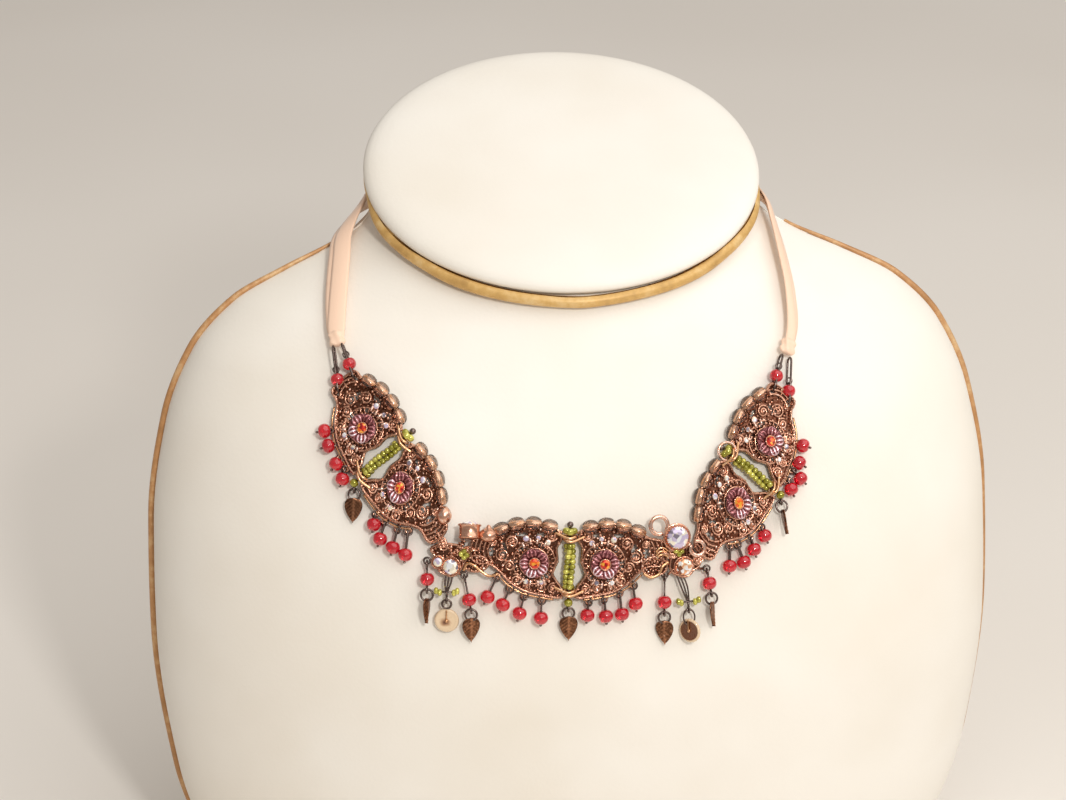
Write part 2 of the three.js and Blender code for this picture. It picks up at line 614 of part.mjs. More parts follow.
function connector(spec) {
  const frame = connectorSeat(spec);
  const inverse = frame.clone().invert();
  const outline = spec.plate.map(([x, y]) => new THREE.Vector2(x, y));
  const holes = spec.holes.map(([x, y]) => oval(6, PLATE_HOLE, PLATE_HOLE, x, y));
  const parts = [
    plate(outline, holes, PLATE),
    stone(LOWER_STONE, vec(0, 0, PLATE / 2 - 0.05), 1.5),
    rod(vec(0, 2), vec(...spec.cup).multiplyScalar(STEM.share), STEM.width),
  ];
  for (const tie of spec.ties) { // a ring through a link's end, tied to the plate
    const near = onLink(tie.link, LINK_EYE.x, LINK_EYE.y);
    const far = onLink(tie.link, LINK_EYE.x + 2 * TIE_RING, LINK_EYE.y);
    parts.push(moved(longRing(near, far, axisOf(LINK_SEATS[tie.link], 2), TIE_RING), inverse));
    parts.push(rod(far.clone().applyMatrix4(inverse), vec(...tie.end), PIN, 4));
  }
  for (const name of ['inner', 'outer']) {
    const eye = hangingEye(spec, name);
    parts.push(pinEye(eye, false));
    parts.push(rod(vec(0, 0), vec(eye.x - Math.sign(eye.x) * EYE, eye.y), PIN, 4));
  }
  // The long pin under the stone: a cross wire with two green beads, and the eye that holds the disc.
  const [x, y] = spec.spreader;
  const left = vec(x - SPREAD, y);
  const right = vec(x + SPREAD, y);
  const foot = spreaderEye(spec);
  parts.push(rod(vec(0, -1.8), vec(x, foot.y + EYE), 0.4, 5), rod(left, right, WIRE, 4));
  parts.push(bead(GREEN_BEAD, left), bead(GREEN_BEAD, right), pinEye(foot, true));
  return moved(join(...parts), frame);
}

// The cup with its big stone. The left one has rolled over, with its stone upwards.
function crystal(spec) {
  const rolled = spec.side === 'left';
  const radius = UPPER_STONE + CUP.wall;
  const height = rolled ? CUP.rolled : CUP.upright;
  const set = stone(UPPER_STONE, vec(0, 0, height / 2 - 0.1), 1.5);
  const cup = plate(oval(12, radius, radius), [], height).add(set);
  const z = rolled ? radius + GAP - LIFT : PLATE / 2 + GAP + height / 2;
  const place = new THREE.Matrix4().makeTranslation(spec.cup[0], spec.cup[1], z);
  const turn = new THREE.Matrix4().makeRotationX(rolled ? -Math.PI / 2 : 0);
  return moved(cup, connectorSeat(spec).multiply(place).multiply(turn));
}

// A red bead on a pin between two eyes that stand on edge.
function redDrop(frame, length) {
  const low = -length - RED_BEAD - EYE;
  return moved(join(
    pinEye(vec(0, -EYE), true),
    rod(vec(0, -2 * EYE), vec(0, low + EYE), WIRE, 4),
    bead(RED_BEAD, vec(0, -length)),
    pinEye(vec(0, low), true),
  ), frame);
}

// ---------------------------------------------------------------- the ribbon and its end loops

// Centre line, width and outward direction of one half of the ribbon, from its end link to the back.
// The right ribbon lies folded lengthwise past its eyes.
function ribbonWidth(number, share) {
  const fold = number === 5 ? THREE.MathUtils.smoothstep(share, 0.08, 0.18) : 0;
  return THREE.MathUtils.lerp(RIBBON.width, RIBBON.folded, fold);
}

function ribbonRoute(number, way) {
  const side = sideOf(number);
  const points = RIBBON_END.map(([x, y]) => onLink(number, x, y));
  const normals = RIBBON_END.map(() => axisOf(LINK_SEATS[number], 2));
  const turns = RIBBON_END.map(() => vec(0, 0));
  for (const [degrees, z, turn] of way) {
    const normal = skinNormal(degrees * RAD, z);
    const lift = RIBBON.lift + (RIBBON.folded / 2) * Math.sin(turn * RAD);
    points.push(skinAt(degrees * RAD, z).addScaledVector(normal, lift));
    normals.push(normal);
    turns.push(vec(turn * RAD, 0));
  }
  const [line, facing, twist] = [points, normals, turns].map((row) => new THREE.CatmullRomCurve3(row));
  return (share) => {
    const point = line.getPoint(share);
    const along = line.getTangent(share);
    const out = facing.getPoint(share).normalize();
    const across = out.clone().cross(along).normalize().multiplyScalar(side);
    across.applyAxisAngle(along, twist.getPoint(share).x);
    return { point, across, out: along.clone().cross(across).multiplyScalar(side).normalize() };
  };
}

const WAYS = { 0: RIBBON_LEFT, 5: RIBBON_RIGHT };
const ROUTES = { 0: ribbonRoute(0, WAYS[0]), 5: ribbonRoute(5, WAYS[5]) };
const ribbonEyeShare = (number) => 1 / (RIBBON_END.length - 1 + WAYS[number].length);

function ribbonEye(number, across) {
  const at = ROUTES[number](ribbonEyeShare(number));
  return at.point.clone().addScaledVector(at.across, across * RIBBON.eyeApart);
}

function ribbon(number) {
  const steps = 20;
  const route = ROUTES[number];
  const strip = solid(new ParametricGeometry((u, v, target) => {
    const row = Math.round(v * (steps + 2)) - 1;
    const share = THREE.MathUtils.clamp(row / steps, 0, 1);
    const { point, across, out } = route(share);
    const inside = row < 0 || row > steps ? 0 : 1;
    const corner = Math.round(u * 4) % 4;
    target.copy(point).addScaledVector(across, inside * (corner % 3 ? 0.5 : -0.5) * ribbonWidth(number, share));
    target.addScaledVector(out, inside * (corner > 1 ? 0.5 : -0.5) * RIBBON.thick);
  }, 4, steps + 2));
  const { point, across, out } = route(ribbonEyeShare(number));
  const along = across.clone().cross(out);
  const frame = new THREE.Matrix4().makeBasis(along, across, out).setPosition(point);
  const toEnd = Math.sign(axisOf(LINK_SEATS[number], 3).sub(point).dot(along));
  const slots = [-1, 1].map((way) => plate(
    oval(6, 1.2, 0.72, toEnd * 0.25, way * RIBBON.eyeApart), [], RIBBON.thick * 3));
  return strip.subtract(moved(join(...slots), frame));
}

// A plain knot in the gap between the two ribbon ends at the back of the neck.
function ribbonKnot() {
  const [, z] = RIBBON_LEFT[RIBBON_LEFT.length - 1];
  const { halfWidth, halfHeight, thick } = KNOT;
  const normal = skinNormal(Math.PI, z);
  const right = vec(-1, 0, 0);
  const frame = new THREE.Matrix4().makeBasis(right, normal.clone().cross(right), normal);
  frame.setPosition(skinAt(Math.PI, z).addScaledVector(normal, thick / 2 + GAP));
  return moved(plate(oval(8, halfWidth, halfHeight), [], thick), frame);
}

// A long wire loop from a link's end eye through the ribbon, with a red bead on it.
function endLoop(number, upper) {
  const eye = RIBBON_EYES[upper ? 0 : 1];
  const from = onLink(number, eye.x, eye.y);
  const rise = ribbonEye(number, 1).sub(ribbonEye(number, -1)).dot(axisOf(LINK_SEATS[number], 1));
  const to = ribbonEye(number, upper ? Math.sign(rise) : -Math.sign(rise));
  const outward = axisOf(LINK_SEATS[number], 2);
  const place = from.clone().lerp(to, END_BEAD.share).addScaledVector(outward, END_BEAD.rise);
  return longRing(from, to, outward, END_BEAD.loop).add(bead(END_BEAD.radius, place));
}

// ---------------------------------------------------------------- the whole

addMesh('bust_form', bustForm(), LEATHERETTE);
addMesh('neck_cap', neckCap(), LEATHERETTE);
addMesh('cap_piping', capPiping(), GOLD_PIPING);
addMesh('seam_piping_left', seamPiping(-1), GOLD_PIPING);
addMesh('seam_piping_right', seamPiping(1), GOLD_PIPING);
addMesh('ribbon_left', ribbon(0), SATIN);
addMesh('ribbon_right', ribbon(5), SATIN);
addMesh('ribbon_knot', ribbonKnot(), SATIN);

for (let number = 0; number < LINK_SEATS.length; number++) {
  addMesh(`link_${number + 1}`, link(number), COPPER);
  addMesh(`flower_${number + 1}`, flower(number), PETAL);
  addMesh(`fringe_${number + 1}`, fringe(number), RED_GLASS);
  if (holdsRibbon(number)) {
    addMesh(`end_loop_${number + 1}_upper`, endLoop(number, true), DARK_COPPER);
    addMesh(`end_loop_${number + 1}_lower`, endLoop(number, false), DARK_COPPER);
  }
}

for (const pair of PAIRS) {
  const frame = barLeafFrame(pair);
  addMesh(pair.bar, bar(pair), OLIVE_GLASS);
  addMesh(`leaf_${pair.bar}`, leaf(frame, pair.leafTurn), DARK_COPPER);
}

for (const spec of CONNECTORS) {
  addMesh(`connector_${spec.side}`, connector(spec), COPPER);
  addMesh(`crystal_${spec.side}`, crystal(spec), CLEAR_STONE);
  ['inner', 'outer'].forEach((name, i) => {
    const eye = hangingEye(spec, name).applyMatrix4(connectorSeat(spec));
    const low = onConnector(spec, ...spec[`${name}Bead`]);
    const frame = hangFrame(eye, low, RED_BEAD + GAP);
    const length = eye.distanceTo(overSkin(low, RED_BEAD + GAP));
    addMesh(`red_drop_${spec.side}_${name}`, redDrop(frame, length), RED_GLASS);
    const foot = vec(0, -length - RED_BEAD - EYE).applyMatrix4(frame);
    const hang = charmFrame(foot, LEAF.half, spec.leafTurns[i]);
    addMesh(`leaf_${spec.side}_${name}`, leaf(hang, spec.leafTurns[i]), DARK_COPPER);
  });
  const foot = spreaderEye(spec).applyMatrix4(connectorSeat(spec));
  const hang = charmFrame(foot, DISC.radius, spec.discTurn);
  addMesh(`disc_${spec.side}`, disc(hang, spec.discTurn), SHELL);
}

// The origin is the middle of the whole thing's box, on the surface that it stands on.
const box = new THREE.Box3().setFromObject(group);
group.position.set(-(box.min.x + box.max.x) / 2, -(box.min.y + box.max.y) / 2, -box.min.z);

export default group;
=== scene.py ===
"""Choker of pierced copper links on a doubled satin ribbon, worn by a covered neck bust.

Sizes in the tables are millimetres in the bust's own frame: +Z up, its front towards -Y.
"""

import random
from collections import namedtuple
from math import asin, atan2, copysign, cos, degrees, exp, pi, radians, sin, sqrt, tan

import bmesh
import bpy
import numpy as np
from bpy.props import FloatProperty, FloatVectorProperty, PointerProperty
from mathutils import Matrix, Quaternion, Vector


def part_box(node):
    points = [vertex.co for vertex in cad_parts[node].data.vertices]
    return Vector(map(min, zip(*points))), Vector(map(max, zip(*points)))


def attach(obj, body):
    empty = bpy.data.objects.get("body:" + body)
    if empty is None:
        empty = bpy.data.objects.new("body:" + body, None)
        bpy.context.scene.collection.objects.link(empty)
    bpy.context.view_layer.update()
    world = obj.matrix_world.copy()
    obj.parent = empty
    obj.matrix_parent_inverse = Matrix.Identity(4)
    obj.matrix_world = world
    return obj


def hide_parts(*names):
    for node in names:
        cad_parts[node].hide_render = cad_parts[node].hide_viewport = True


bl_info = {
    "name": "Copper link choker on a neck bust",
    "version": (1, 0, 0),
    "blender": (4, 5, 0),
    "location": "View3D > Sidebar > Choker",
    "description": "Dresses the packed choker with filigree, beads, satin and a covered bust",
    "category": "Object",
}

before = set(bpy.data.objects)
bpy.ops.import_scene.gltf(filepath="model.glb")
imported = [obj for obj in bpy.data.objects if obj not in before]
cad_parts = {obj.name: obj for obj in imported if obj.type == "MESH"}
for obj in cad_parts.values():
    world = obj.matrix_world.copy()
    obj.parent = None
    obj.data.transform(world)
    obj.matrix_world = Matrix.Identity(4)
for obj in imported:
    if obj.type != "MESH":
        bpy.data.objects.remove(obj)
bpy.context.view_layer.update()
MM = 0.001
TAU = 2 * pi
BODY = "root"


def move(x, y, z):
    return Matrix.Translation((x, y, z))


def moved(point):
    return Matrix.Translation(point)


def turned(axis, angle):
    return Matrix.Rotation(angle, 4, axis)


def polar(radius, angle, z=0.0):
    return Vector((radius * cos(angle), radius * sin(angle), z))


ON_EDGE = turned("Y", pi / 2)
UPRIGHT = turned("X", pi / 2)


# ------------------------------------------------------------------ sizes of the bust and the choker

Section = namedtuple("Section", "z half front edge back pinch")
SECTIONS = [
    Section(0, 102, -34, 4, 26, 1), Section(35, 113, -42, 8, 33, 1), Section(75, 117, -45, 13, 40, 1),
    Section(108, 116, -38, 18, 45, 1), Section(136, 111, -25, 23, 51, 1),
    Section(154, 103, -12, 27, 58, 1), Section(166, 91, -4, 31, 66, 1.12),
    Section(173, 76, 0.8, 35, 74, 1.28), Section(178, 62.5, 2.6, 40, 82, 1.32),
    Section(183, 54, 3.4, 45, 89, 1.15), Section(190, 50.5, 3.8, 48, 92.9, 1),
    Section(225, 50.5, 3.8, 48, 92.9, 1),
]
WIDEST_FRONT = -45  # the foremost line of the chest
SHOULDER = 154  # height of the last level ring
CAP = {"y": 48, "z": 194, "tilt": radians(19), "half_width": 54.6, "half_depth": 51.5}
NECK_DROP = 1.85  # from the cap's rim to the neck's end
SEAM_TOP = 178

LIFT = 2.05
PLATE = 1.5
Pair = namedtuple("Pair", "name x z lean sag leaf_turn")
PAIRS = [
    Pair("left", -54.5, 138.8, 45, (0.08, 0.22), 0),
    Pair("front", -7.4, 114.6, 3, (0, 0), 0),
    Pair("right", 42.5, 132.8, -45, (-0.22, -0.08), 80),
]
REACH = 25.4
LINK_EYE = (23.6, 4.2)
RIBBON_EYES = [(21, 7.1), (21, 1.6)]
BEAD_ROW = [(5.3, 10.9), (9.5, 11.6), (13.9, 11.3), (17.8, 9.9)]
FLOWER = (9.1, 1.2)
EYE = 0.86
TIE_RING = 1.35
LEAF_RING = 1.2
GAP = 0.35

FRINGES = [
    [(4.6, 2.9, -11), (7.6, 7, -10), (11.4, 12, -8.9), (14.6, 15.7, -7.4)],
    [(9.4, 11.5, -9.8), (12.8, 15.4, -10.2), (16.2, 19.3, -8.3), (18.4, 22.9, -6.3)],
    [(6.9, 7, -13.3), (11.3, 12.6, -12.2), (15, 17, -10), (18.4, 21, -8)],
    [(5.4, 5.1, -12.4), (9.4, 10, -12.6), (13.4, 14.2, -12), (16.8, 17.7, -9.2)],
    [(9.8, 11.2, -9.7), (13.6, 15.8, -8.6), (17.2, 20.1, -7.5), (18.7, 23.3, -4.3)],
    [(4.6, 3, -10.8), (7.4, 6.9, -11.5), (10, 10, -9), (13.8, 14.3, -7.5)],
]
RIM = [(3.9, -8.35), (7.5, -7.85), (11.7, -6.95), (15.8, -4.75), (18.95, -1.6)]

BAR = {"bottom": -5.6, "top": 6.3, "radius": 1.6, "pin": 0.4, "upper_bead": 9.7, "lower_bead": -8.8}

Connector = namedtuple(
    "Connector",
    "side x z outline ties cup spreader inner_eye inner_bead outer_eye outer_bead disc_turn leaf_turns",
)
CONNECTORS = [
    Connector(
        "left", -37.9, 115.2,
        [(-5, 4.4), (-3.4, 2), (-3, -0.8), (-1, -2.2), (2, -1.5), (3.6, 0.6), (4.4, 2.8), (3.2, 5),
         (-2.4, 5.6)],
        [(1, (-1.6, 4.8)), (2, (3.2, 3.6))],
        (5, 9.4), (-0.7, -6.8), (3.7, -2.2), (5.1, -8.7), (-6, 1.2), (-5.9, -3.6), 0, (20, 75),
    ),
    Connector(
        "right", 21, 113.6,
        [(-1.9, 1.8), (-2.2, -0.6), (-1, -2.2), (1.8, -2.2), (4.6, -1.2), (5.8, 0), (4.4, 2.2), (3.4, 4.4),
         (-1.2, 4.6)],
        [(4, (4.6, 0.6)), (3, (-1, 3))],
        (-1.1, 8.4), (2.1, -9.8), (-3.7, -2.2), (-4.2, -9.4), (7.6, -1.6), (8.1, -5.5), -45, (-25, 60),
    ),
]
SPREAD = 2.3

RIBBON_LIFT = 2.5
RIBBON_FOLDED = 3
RIBBON_EYE_APART = 1.2
RIBBON_END = [(28.2, 7.9), (31, 8.7)]
RIBBON_LEFT = [
    (-50, 168.3, 0), (-68.5, 175.9, 0), (-81, 178.6, 0), (-98, 181.6, 0), (-112, 183.3, 0), (-140, 185, 0),
    (-160, 186.5, 0), (-176.4, 187, 0),
]
RIBBON_RIGHT = [
    (37.4, 162.6, 10), (44.7, 168.9, 25), (56, 174.6, 25), (71.5, 179.5, 25), (84, 182.5, 20),
    (112, 183.6, 10), (140, 185.2, 0), (160, 186.5, 0), (176.4, 187, 0),
]
RIBBON_HEM = 0.125  # share of the way where the satin begins; the loops show before it
END_BEAD = {"share": 0.42, "lower_share": 0.28, "rise": 0.2, "loop": 1.3}

# ------------------------------------------------------------------ colours


def linear(code):
    """An sRGB hex colour as linear values."""
    shares = [int(code[i:i + 2], 16) / 255 for i in (1, 3, 5)]
    return [s / 12.92 if s <= 0.04045 else ((s + 0.055) / 1.055) ** 2.4 for s in shares]


def length_prop(name, description, millimetres):
    return FloatProperty(
        name=name, description=description, default=millimetres * MM, min=0, unit="LENGTH", precision=5)


def colour_prop(name, description, code):
    return FloatVectorProperty(
        name=name, description=description, default=linear(code), size=3, min=0, max=1, subtype="COLOR")


class BustSettings(bpy.types.PropertyGroup):
    """Sizes and colours of the covered bust."""

    skin: colour_prop("Cover", "Colour of the leatherette cover", "#f3eee5")
    piping: colour_prop("Piping", "Colour of the gold piping", "#c59440")
    piping_radius: length_prop("Neck piping", "Radius of the piping under the neck cap", 1.6)
    seam_radius: length_prop("Outline piping", "Radius of the piping along the outline", 1.1)
    grain: length_prop("Grain", "Spacing of the cover's pebble grain", 0.9)


class ChokerSettings(bpy.types.PropertyGroup):
    """Sizes and colours of the choker."""

    wire: length_prop("Scroll wire", "Radius of the filigree wire", 0.27)
    frame_wire: length_prop("Frame wire", "Radius of the wire round a link", 0.42)
    granule: length_prop("Granule", "Radius of the largest granules", 0.46)
    clear_bead: length_prop("Clear bead", "Radius of the copper-lined beads", 2.05)
    red_bead: length_prop("Red bead", "Radius of the hanging red beads", 1.95)
    flower: length_prop("Flower", "Radius of a flower", 3.9)
    ribbon_width: length_prop("Ribbon width", "Width of the satin ribbon", 5)
    ribbon_ply: length_prop("Ribbon ply", "Thickness of one of its two layers", 0.38)
    leaf_half: length_prop("Leaf half width", "Half the width of a leaf charm", 2.4)
    leaf_length: length_prop("Leaf length", "Length of a leaf charm", 6.6)
    disc: length_prop("Disc", "Radius of a disc charm", 3.25)
    copper: colour_prop("Copper", "Rubbed tops of the copper work", "#e0ab90")
    patina: colour_prop("Patina", "Dark of the copper's recesses", "#5a3020")
    steel: colour_prop("Pins", "Dark wire of the pins and rings", "#85736c")
    lustre: colour_prop("Lustre", "Enamel in the hollows of the petals", "#7c2f35")
    red: colour_prop("Red glass", "Glass of the hanging beads", "#e0162c")
    olive: colour_prop("Olive glass", "Silver-lined seed beads", "#a8a01a")
    satin: colour_prop("Satin", "Ribbon", "#f6d3b8")
    shell: colour_prop("Shell", "Disc charms", "#e2c7a4")


class StageSettings(bpy.types.PropertyGroup):
    """Floor, lights and lens."""

    floor: colour_prop("Floor", "Colour of the floor", "#efe9e1")
    lens: length_prop("Lens", "Focal length of the camera", 92.5)
    distance: length_prop("Distance", "From the camera to the choker", 720)
    flash: FloatProperty(
        name="Flash", description="Power of the light at the camera", default=2.6, unit="POWER")
    overhead: FloatProperty(
        name="Overhead", description="Power of the light above", default=17, unit="POWER")


# ------------------------------------------------------------------ the bust's skin


def slopes(column):
    """Slope of a section column at each row, level wherever it turns back."""
    steps = [
        (getattr(high, column) - getattr(low, column)) / (high.z - low.z)
        for low, high in zip(SECTIONS, SECTIONS[1:])]
    inner = [0 if a * b <= 0 else 2 * a * b / (a + b) for a, b in zip(steps, steps[1:])]
    return [steps[0], *inner, steps[-1]]


SLOPES = {column: slopes(column) for column in Section._fields[1:]}


def between(z, column):
    i = 0
    while i < len(SECTIONS) - 2 and z > SECTIONS[i + 1].z:
        i += 1
    low, high = SECTIONS[i], SECTIONS[i + 1]
    h = high.z - low.z
    t = (z - low.z) / h
    start, end = SLOPES[column][i], SLOPES[column][i + 1]
    return (
        (1 + 2 * t) * (1 - t) ** 2 * getattr(low, column) + t * (1 - t) ** 2 * h * start
        + t * t * (3 - 2 * t) * getattr(high, column) + t * t * (t - 1) * h * end)


def skin_at(angle, z):
    """The point on the skin at a height and an angle from the front."""
    half, front, edge, back, pinch = (between(z, column) for column in Section._fields[1:])
    s, c = sin(angle), cos(angle)
    depth = edge - front if c > 0 else back - edge
    return Vector((half * copysign(abs(s) ** pinch, s), edge - depth * copysign(abs(c) ** pinch, c), z))


def skin_normal(angle, z):
    around = skin_at(angle + 0.01, z) - skin_at(angle - 0.01, z)
    return around.cross(skin_at(angle, z + 0.3) - skin_at(angle, z - 0.3)).normalized()


def front_angle(x, z):
    share = min(abs(x) / between(z, "half"), 1)
    return copysign(asin(share ** (1 / between(z, "pinch"))), x)


def on_front(x, z, height=0):
    angle = front_angle(x, z)
    return skin_at(angle, z) + skin_normal(angle, z) * height


def over_skin(point, height):
    """A point brought square to the skin until it lies `height` over it."""
    place = point.copy()
    for _ in range(3):
        angle = front_angle(place.x, place.z)
        normal = skin_normal(angle, place.z)
        place += normal * (height - (place - skin_at(angle, place.z)).dot(normal))
    return place


def basis(right, up, out, origin):
    matrix = Matrix((right, up, out)).transposed().to_4x4()
    matrix.translation = origin
    return matrix


def axis_of(matrix, index):
    return matrix.col[index].to_3d()


def seat(x, z, lean, height):
    """A frame on the front of the bust: up along the skin, leaning clockwise, and Z away from it."""
    normal = skin_normal(front_angle(x, z), z)
    plumb = (Vector((0, 0, 1)) - normal * normal.z).normalized()
    level = plumb.cross(normal)
    a = radians(lean)
    up = plumb * cos(a) + level * sin(a)
    right = level * cos(a) - plumb * sin(a)
    return basis(right, up, normal, on_front(x, z, height))


def side_of(number):
    return 1 if number % 2 else -1


def link_seat(number):
    """A link turns about its bar to lie along the skin, and leans where it sags."""
    pair = PAIRS[number // 2]
    side = side_of(number)
    bar = seat(pair.x, pair.z, pair.lean, LIFT)
    origin, up = bar.translation, axis_of(bar, 1)
    far = on_front(pair.x, pair.z) + axis_of(bar, 0) * side * (REACH - 3)
    right = on_front(far.x, far.z, LIFT) - origin
    right = (right - up * right.dot(up)).normalized() * side
    out = right.cross(up)
    return basis(right - up * pair.sag[number % 2], up, out, origin)


LINK_SEATS = [link_seat(number) for number in range(6)]


def on_link(number, x, y):
    return LINK_SEATS[number] @ Vector((side_of(number) * x, y, 0))


def tilted_plane(y, drop):
    """Height at a depth y of the plane that lies `drop` under the cap's rim."""
    return CAP["z"] - drop / cos(CAP["tilt"]) + (y - CAP["y"]) * tan(CAP["tilt"])


def neck_top(angle):
    z = CAP["z"]
    for _ in range(12):
        z = tilted_plane(skin_at(angle, z).y, NECK_DROP)
    return z


CAP_FRAME = move(0, CAP["y"], CAP["z"]) @ turned("X", CAP["tilt"])


def hang_frame(eye, target, height):
    """A frame at an eye, whose -Y leads down to a point that lies `height` over the skin."""
    end = over_skin(target, height)
    up = (eye - end).normalized()
    normal = skin_normal(front_angle(end.x, end.z), end.z)
    out = (normal - up * normal.dot(up)).normalized()
    return basis(up.cross(out), up, out, eye)


def charm_frame(eye, half_width, turn):
    clear = half_width * abs(sin(radians(turn))) + 2 * GAP
    return hang_frame(eye, eye - Vector((0, 0, 8)), max(1.6, clear))


# ------------------------------------------------------------------ lines


def through(points, share):
    """The point at a share of a smooth line through the points, with knots spaced by distance."""
    last = len(points) - 1
    place = min(share, 1) * last
    i = min(int(place), last - 1)
    t = place - i
    p1, p2 = points[i], points[i + 1]
    p0 = points[i - 1] if i > 0 else p1 * 2 - p2
    p3 = points[i + 2] if i + 2 <= last else p2 * 2 - p1
    d0, d1, d2 = (max((b - a).length, 1e-4) ** 0.5 for a, b in ((p0, p1), (p1, p2), (p2, p3)))
    start = ((p1 - p0) / d0 - (p2 - p0) / (d0 + d1) + (p2 - p1) / d1) * d1
    end = ((p2 - p1) / d1 - (p3 - p1) / (d1 + d2) + (p3 - p2) / d2) * d1
    return (
        p1 * (2 * t ** 3 - 3 * t * t + 1) + p2 * (3 * t * t - 2 * t ** 3)
        + start * (t ** 3 - 2 * t * t + t) + end * (t ** 3 - t * t))


def smooth_line(points, steps):
    points = [Vector(p).to_3d() for p in points]
    return [through(points, i / steps) for i in range(steps + 1)]


def arc(centre, radius, start, end, steps, z=0):
    """Points of an arc in the XY plane, in degrees."""
    turns = [radians(start + (end - start) * i / steps) for i in range(steps + 1)]
    return [Vector((centre[0] + radius * cos(a), centre[1] + radius * sin(a), z)) for a in turns]


def spiral(centre, radius, turns, start, z):
    """Points of a scroll that winds in from its rim; negative turns wind clockwise."""
    steps = max(10, int(abs(turns) * 16))
    points = []
    for i in range(steps + 1):
        t = i / steps
        a = radians(start) + turns * TAU * t
        r = radius * (1 - 0.75 * t)
        points.append(Vector((centre[0] + r * cos(a), centre[1] + r * sin(a), z)))
    return points


# ------------------------------------------------------------------ shapes

Shape = namedtuple("Shape", "points loops sizes smooth strip")


def taken(bm, smooth=True):
    """A bmesh as arrays, so that it can be set out many times.

    Points and faces are sorted by place, because the operators that merge them keep no fixed order.
    """
    bmesh.ops.recalc_face_normals(bm, faces=bm.faces)
    bm.verts.index_update()
    points = np.array([v.co[:] for v in bm.verts])
    layer = bm.verts.layers.float_vector.get("strip")
    strip = np.array([v[layer][:] for v in bm.verts]) if layer else np.zeros((len(points), 3))
    order = np.lexsort(np.round(points, 4).T)
    rank = np.argsort(order).tolist()
    rings = sorted(([rank[v.index] for v in f.verts] for f in bm.faces), key=sorted)
    bm.free()
    loops = np.array([i for ring in rings for i in ring])
    return Shape(points[order], loops, np.array([len(ring) for ring in rings]), smooth, strip[order])


def wrapped(across, along, place, smooth=True):
    """A grid laid out by place(u, v), its meeting edges merged and its open ends closed.

    place gives a point, or a point and its tone.
    """
    bm = bmesh.new()
    bmesh.ops.create_grid(bm, x_segments=across, y_segments=along, size=0.5)
    layer = bm.verts.layers.float_vector.new("strip")
    for v in bm.verts:
        u, along_v = v.co.x + 0.5, v.co.y + 0.5
        found = place(u, along_v)
        point, tone = found if isinstance(found, tuple) else (found, 0)
        v[layer] = (u, along_v, tone)
        v.co = point
    bmesh.ops.remove_doubles(bm, verts=bm.verts, dist=1e-4)
    bmesh.ops.holes_fill(bm, edges=[e for e in bm.edges if e.is_boundary], sides=0)
    return taken(bm, smooth)


def tube(points, radius, sides=6, closed=False, taper=1):
    """A round wire along points. `taper` is the share of the radius left at the far end, or on the way."""
    line = [Vector(p) for p in points]
    rows = len(line) if closed else len(line) - 1
    step = line[1] - line[0]
    side = step.orthogonal().normalized()
    frames = []
    for i in range(rows + 1):
        here = line[i % len(line)]
        before = line[(i - 1) % len(line)] if closed or i else here
        after = line[(i + 1) % len(line)] if closed or i < rows else here
        along = (after - before).normalized()
        side = (side - along * side.dot(along)).normalized()
        frames.append((here, side.copy(), along.cross(side)))
    drift = 0
    if closed:  # the twist that is left when the frame comes round is spread over the turn
        first, last = frames[0], frames[-1]
        drift = atan2(last[1].dot(first[2]), last[1].dot(first[1]))

    def place(u, v):
        row = round(v * rows)
        here, a, b = frames[row]
        turn = TAU * u - drift * row / rows
        r = radius * (taper(row / rows) if callable(taper) else 1 + (taper - 1) * row / rows)
        return here + a * (r * cos(turn)) + b * (r * sin(turn))

    return wrapped(sides, rows, place)


def torus(radius, wire, steps=16, sides=6):
    return tube(arc((0, 0), radius, 0, 360 * (steps - 1) / steps, steps - 1), wire, sides, True)


def lathe(profile, steps):
    """A profile of (radius, height) spun about Y."""
    bm = bmesh.new()
    verts = [bm.verts.new((r, y, 0)) for r, y in profile]
    edges = [bm.edges.new(pair) for pair in zip(verts, verts[1:])]
    bmesh.ops.spin(
        bm, geom=verts + edges, cent=(0, 0, 0), axis=(0, 1, 0), angle=TAU, steps=steps, use_merge=True)
    bmesh.ops.remove_doubles(bm, verts=bm.verts, dist=1e-4)
    bmesh.ops.holes_fill(bm, edges=[e for e in bm.edges if e.is_boundary], sides=0)
    return taken(bm)


def ball(radius, detail=2):
    bm = bmesh.new()
    bmesh.ops.create_icosphere(bm, subdivisions=detail, radius=radius)
    return taken(bm)


def bead(radius, half_length, hole, steps=20):
    """A drilled bead with its hole along Y, flattened at both mouths."""
    outer = [
        (hole + (radius - hole) * cos(radians(a)) ** 0.9, half_length * sin(radians(a)))
        for a in (-84, -66, -46, -26, -8, 8, 26, 46, 66, 84)]
    return lathe([*outer, (hole, half_length * 0.86), (hole, -half_length * 0.86), outer[0]], steps)


def cut_stone(radius, facets=8):
    """A brilliant: table, kite and girdle facets, and a low pavilion, its table towards +Z."""
    rings = [
        (0.54, 0.36, 0), (0.83, 0.2, 0.5), (1, 0.02, 0), (1, -0.04, 0), (0.62, -0.34, 0.5), (0.06, -0.62, 0)]
    bm = bmesh.new()
    for share, height, shift in rings:
        count = facets * 2 if share == 1 else facets
        for i in range(count):
            a = TAU * (i / count + shift / count)
            bm.verts.new(polar(share * radius, a, height * radius))
    bmesh.ops.convex_hull(bm, input=bm.verts)
    bmesh.ops.dissolve_limit(bm, angle_limit=radians(1), verts=bm.verts, edges=bm.edges)
    return taken(bm, smooth=False)


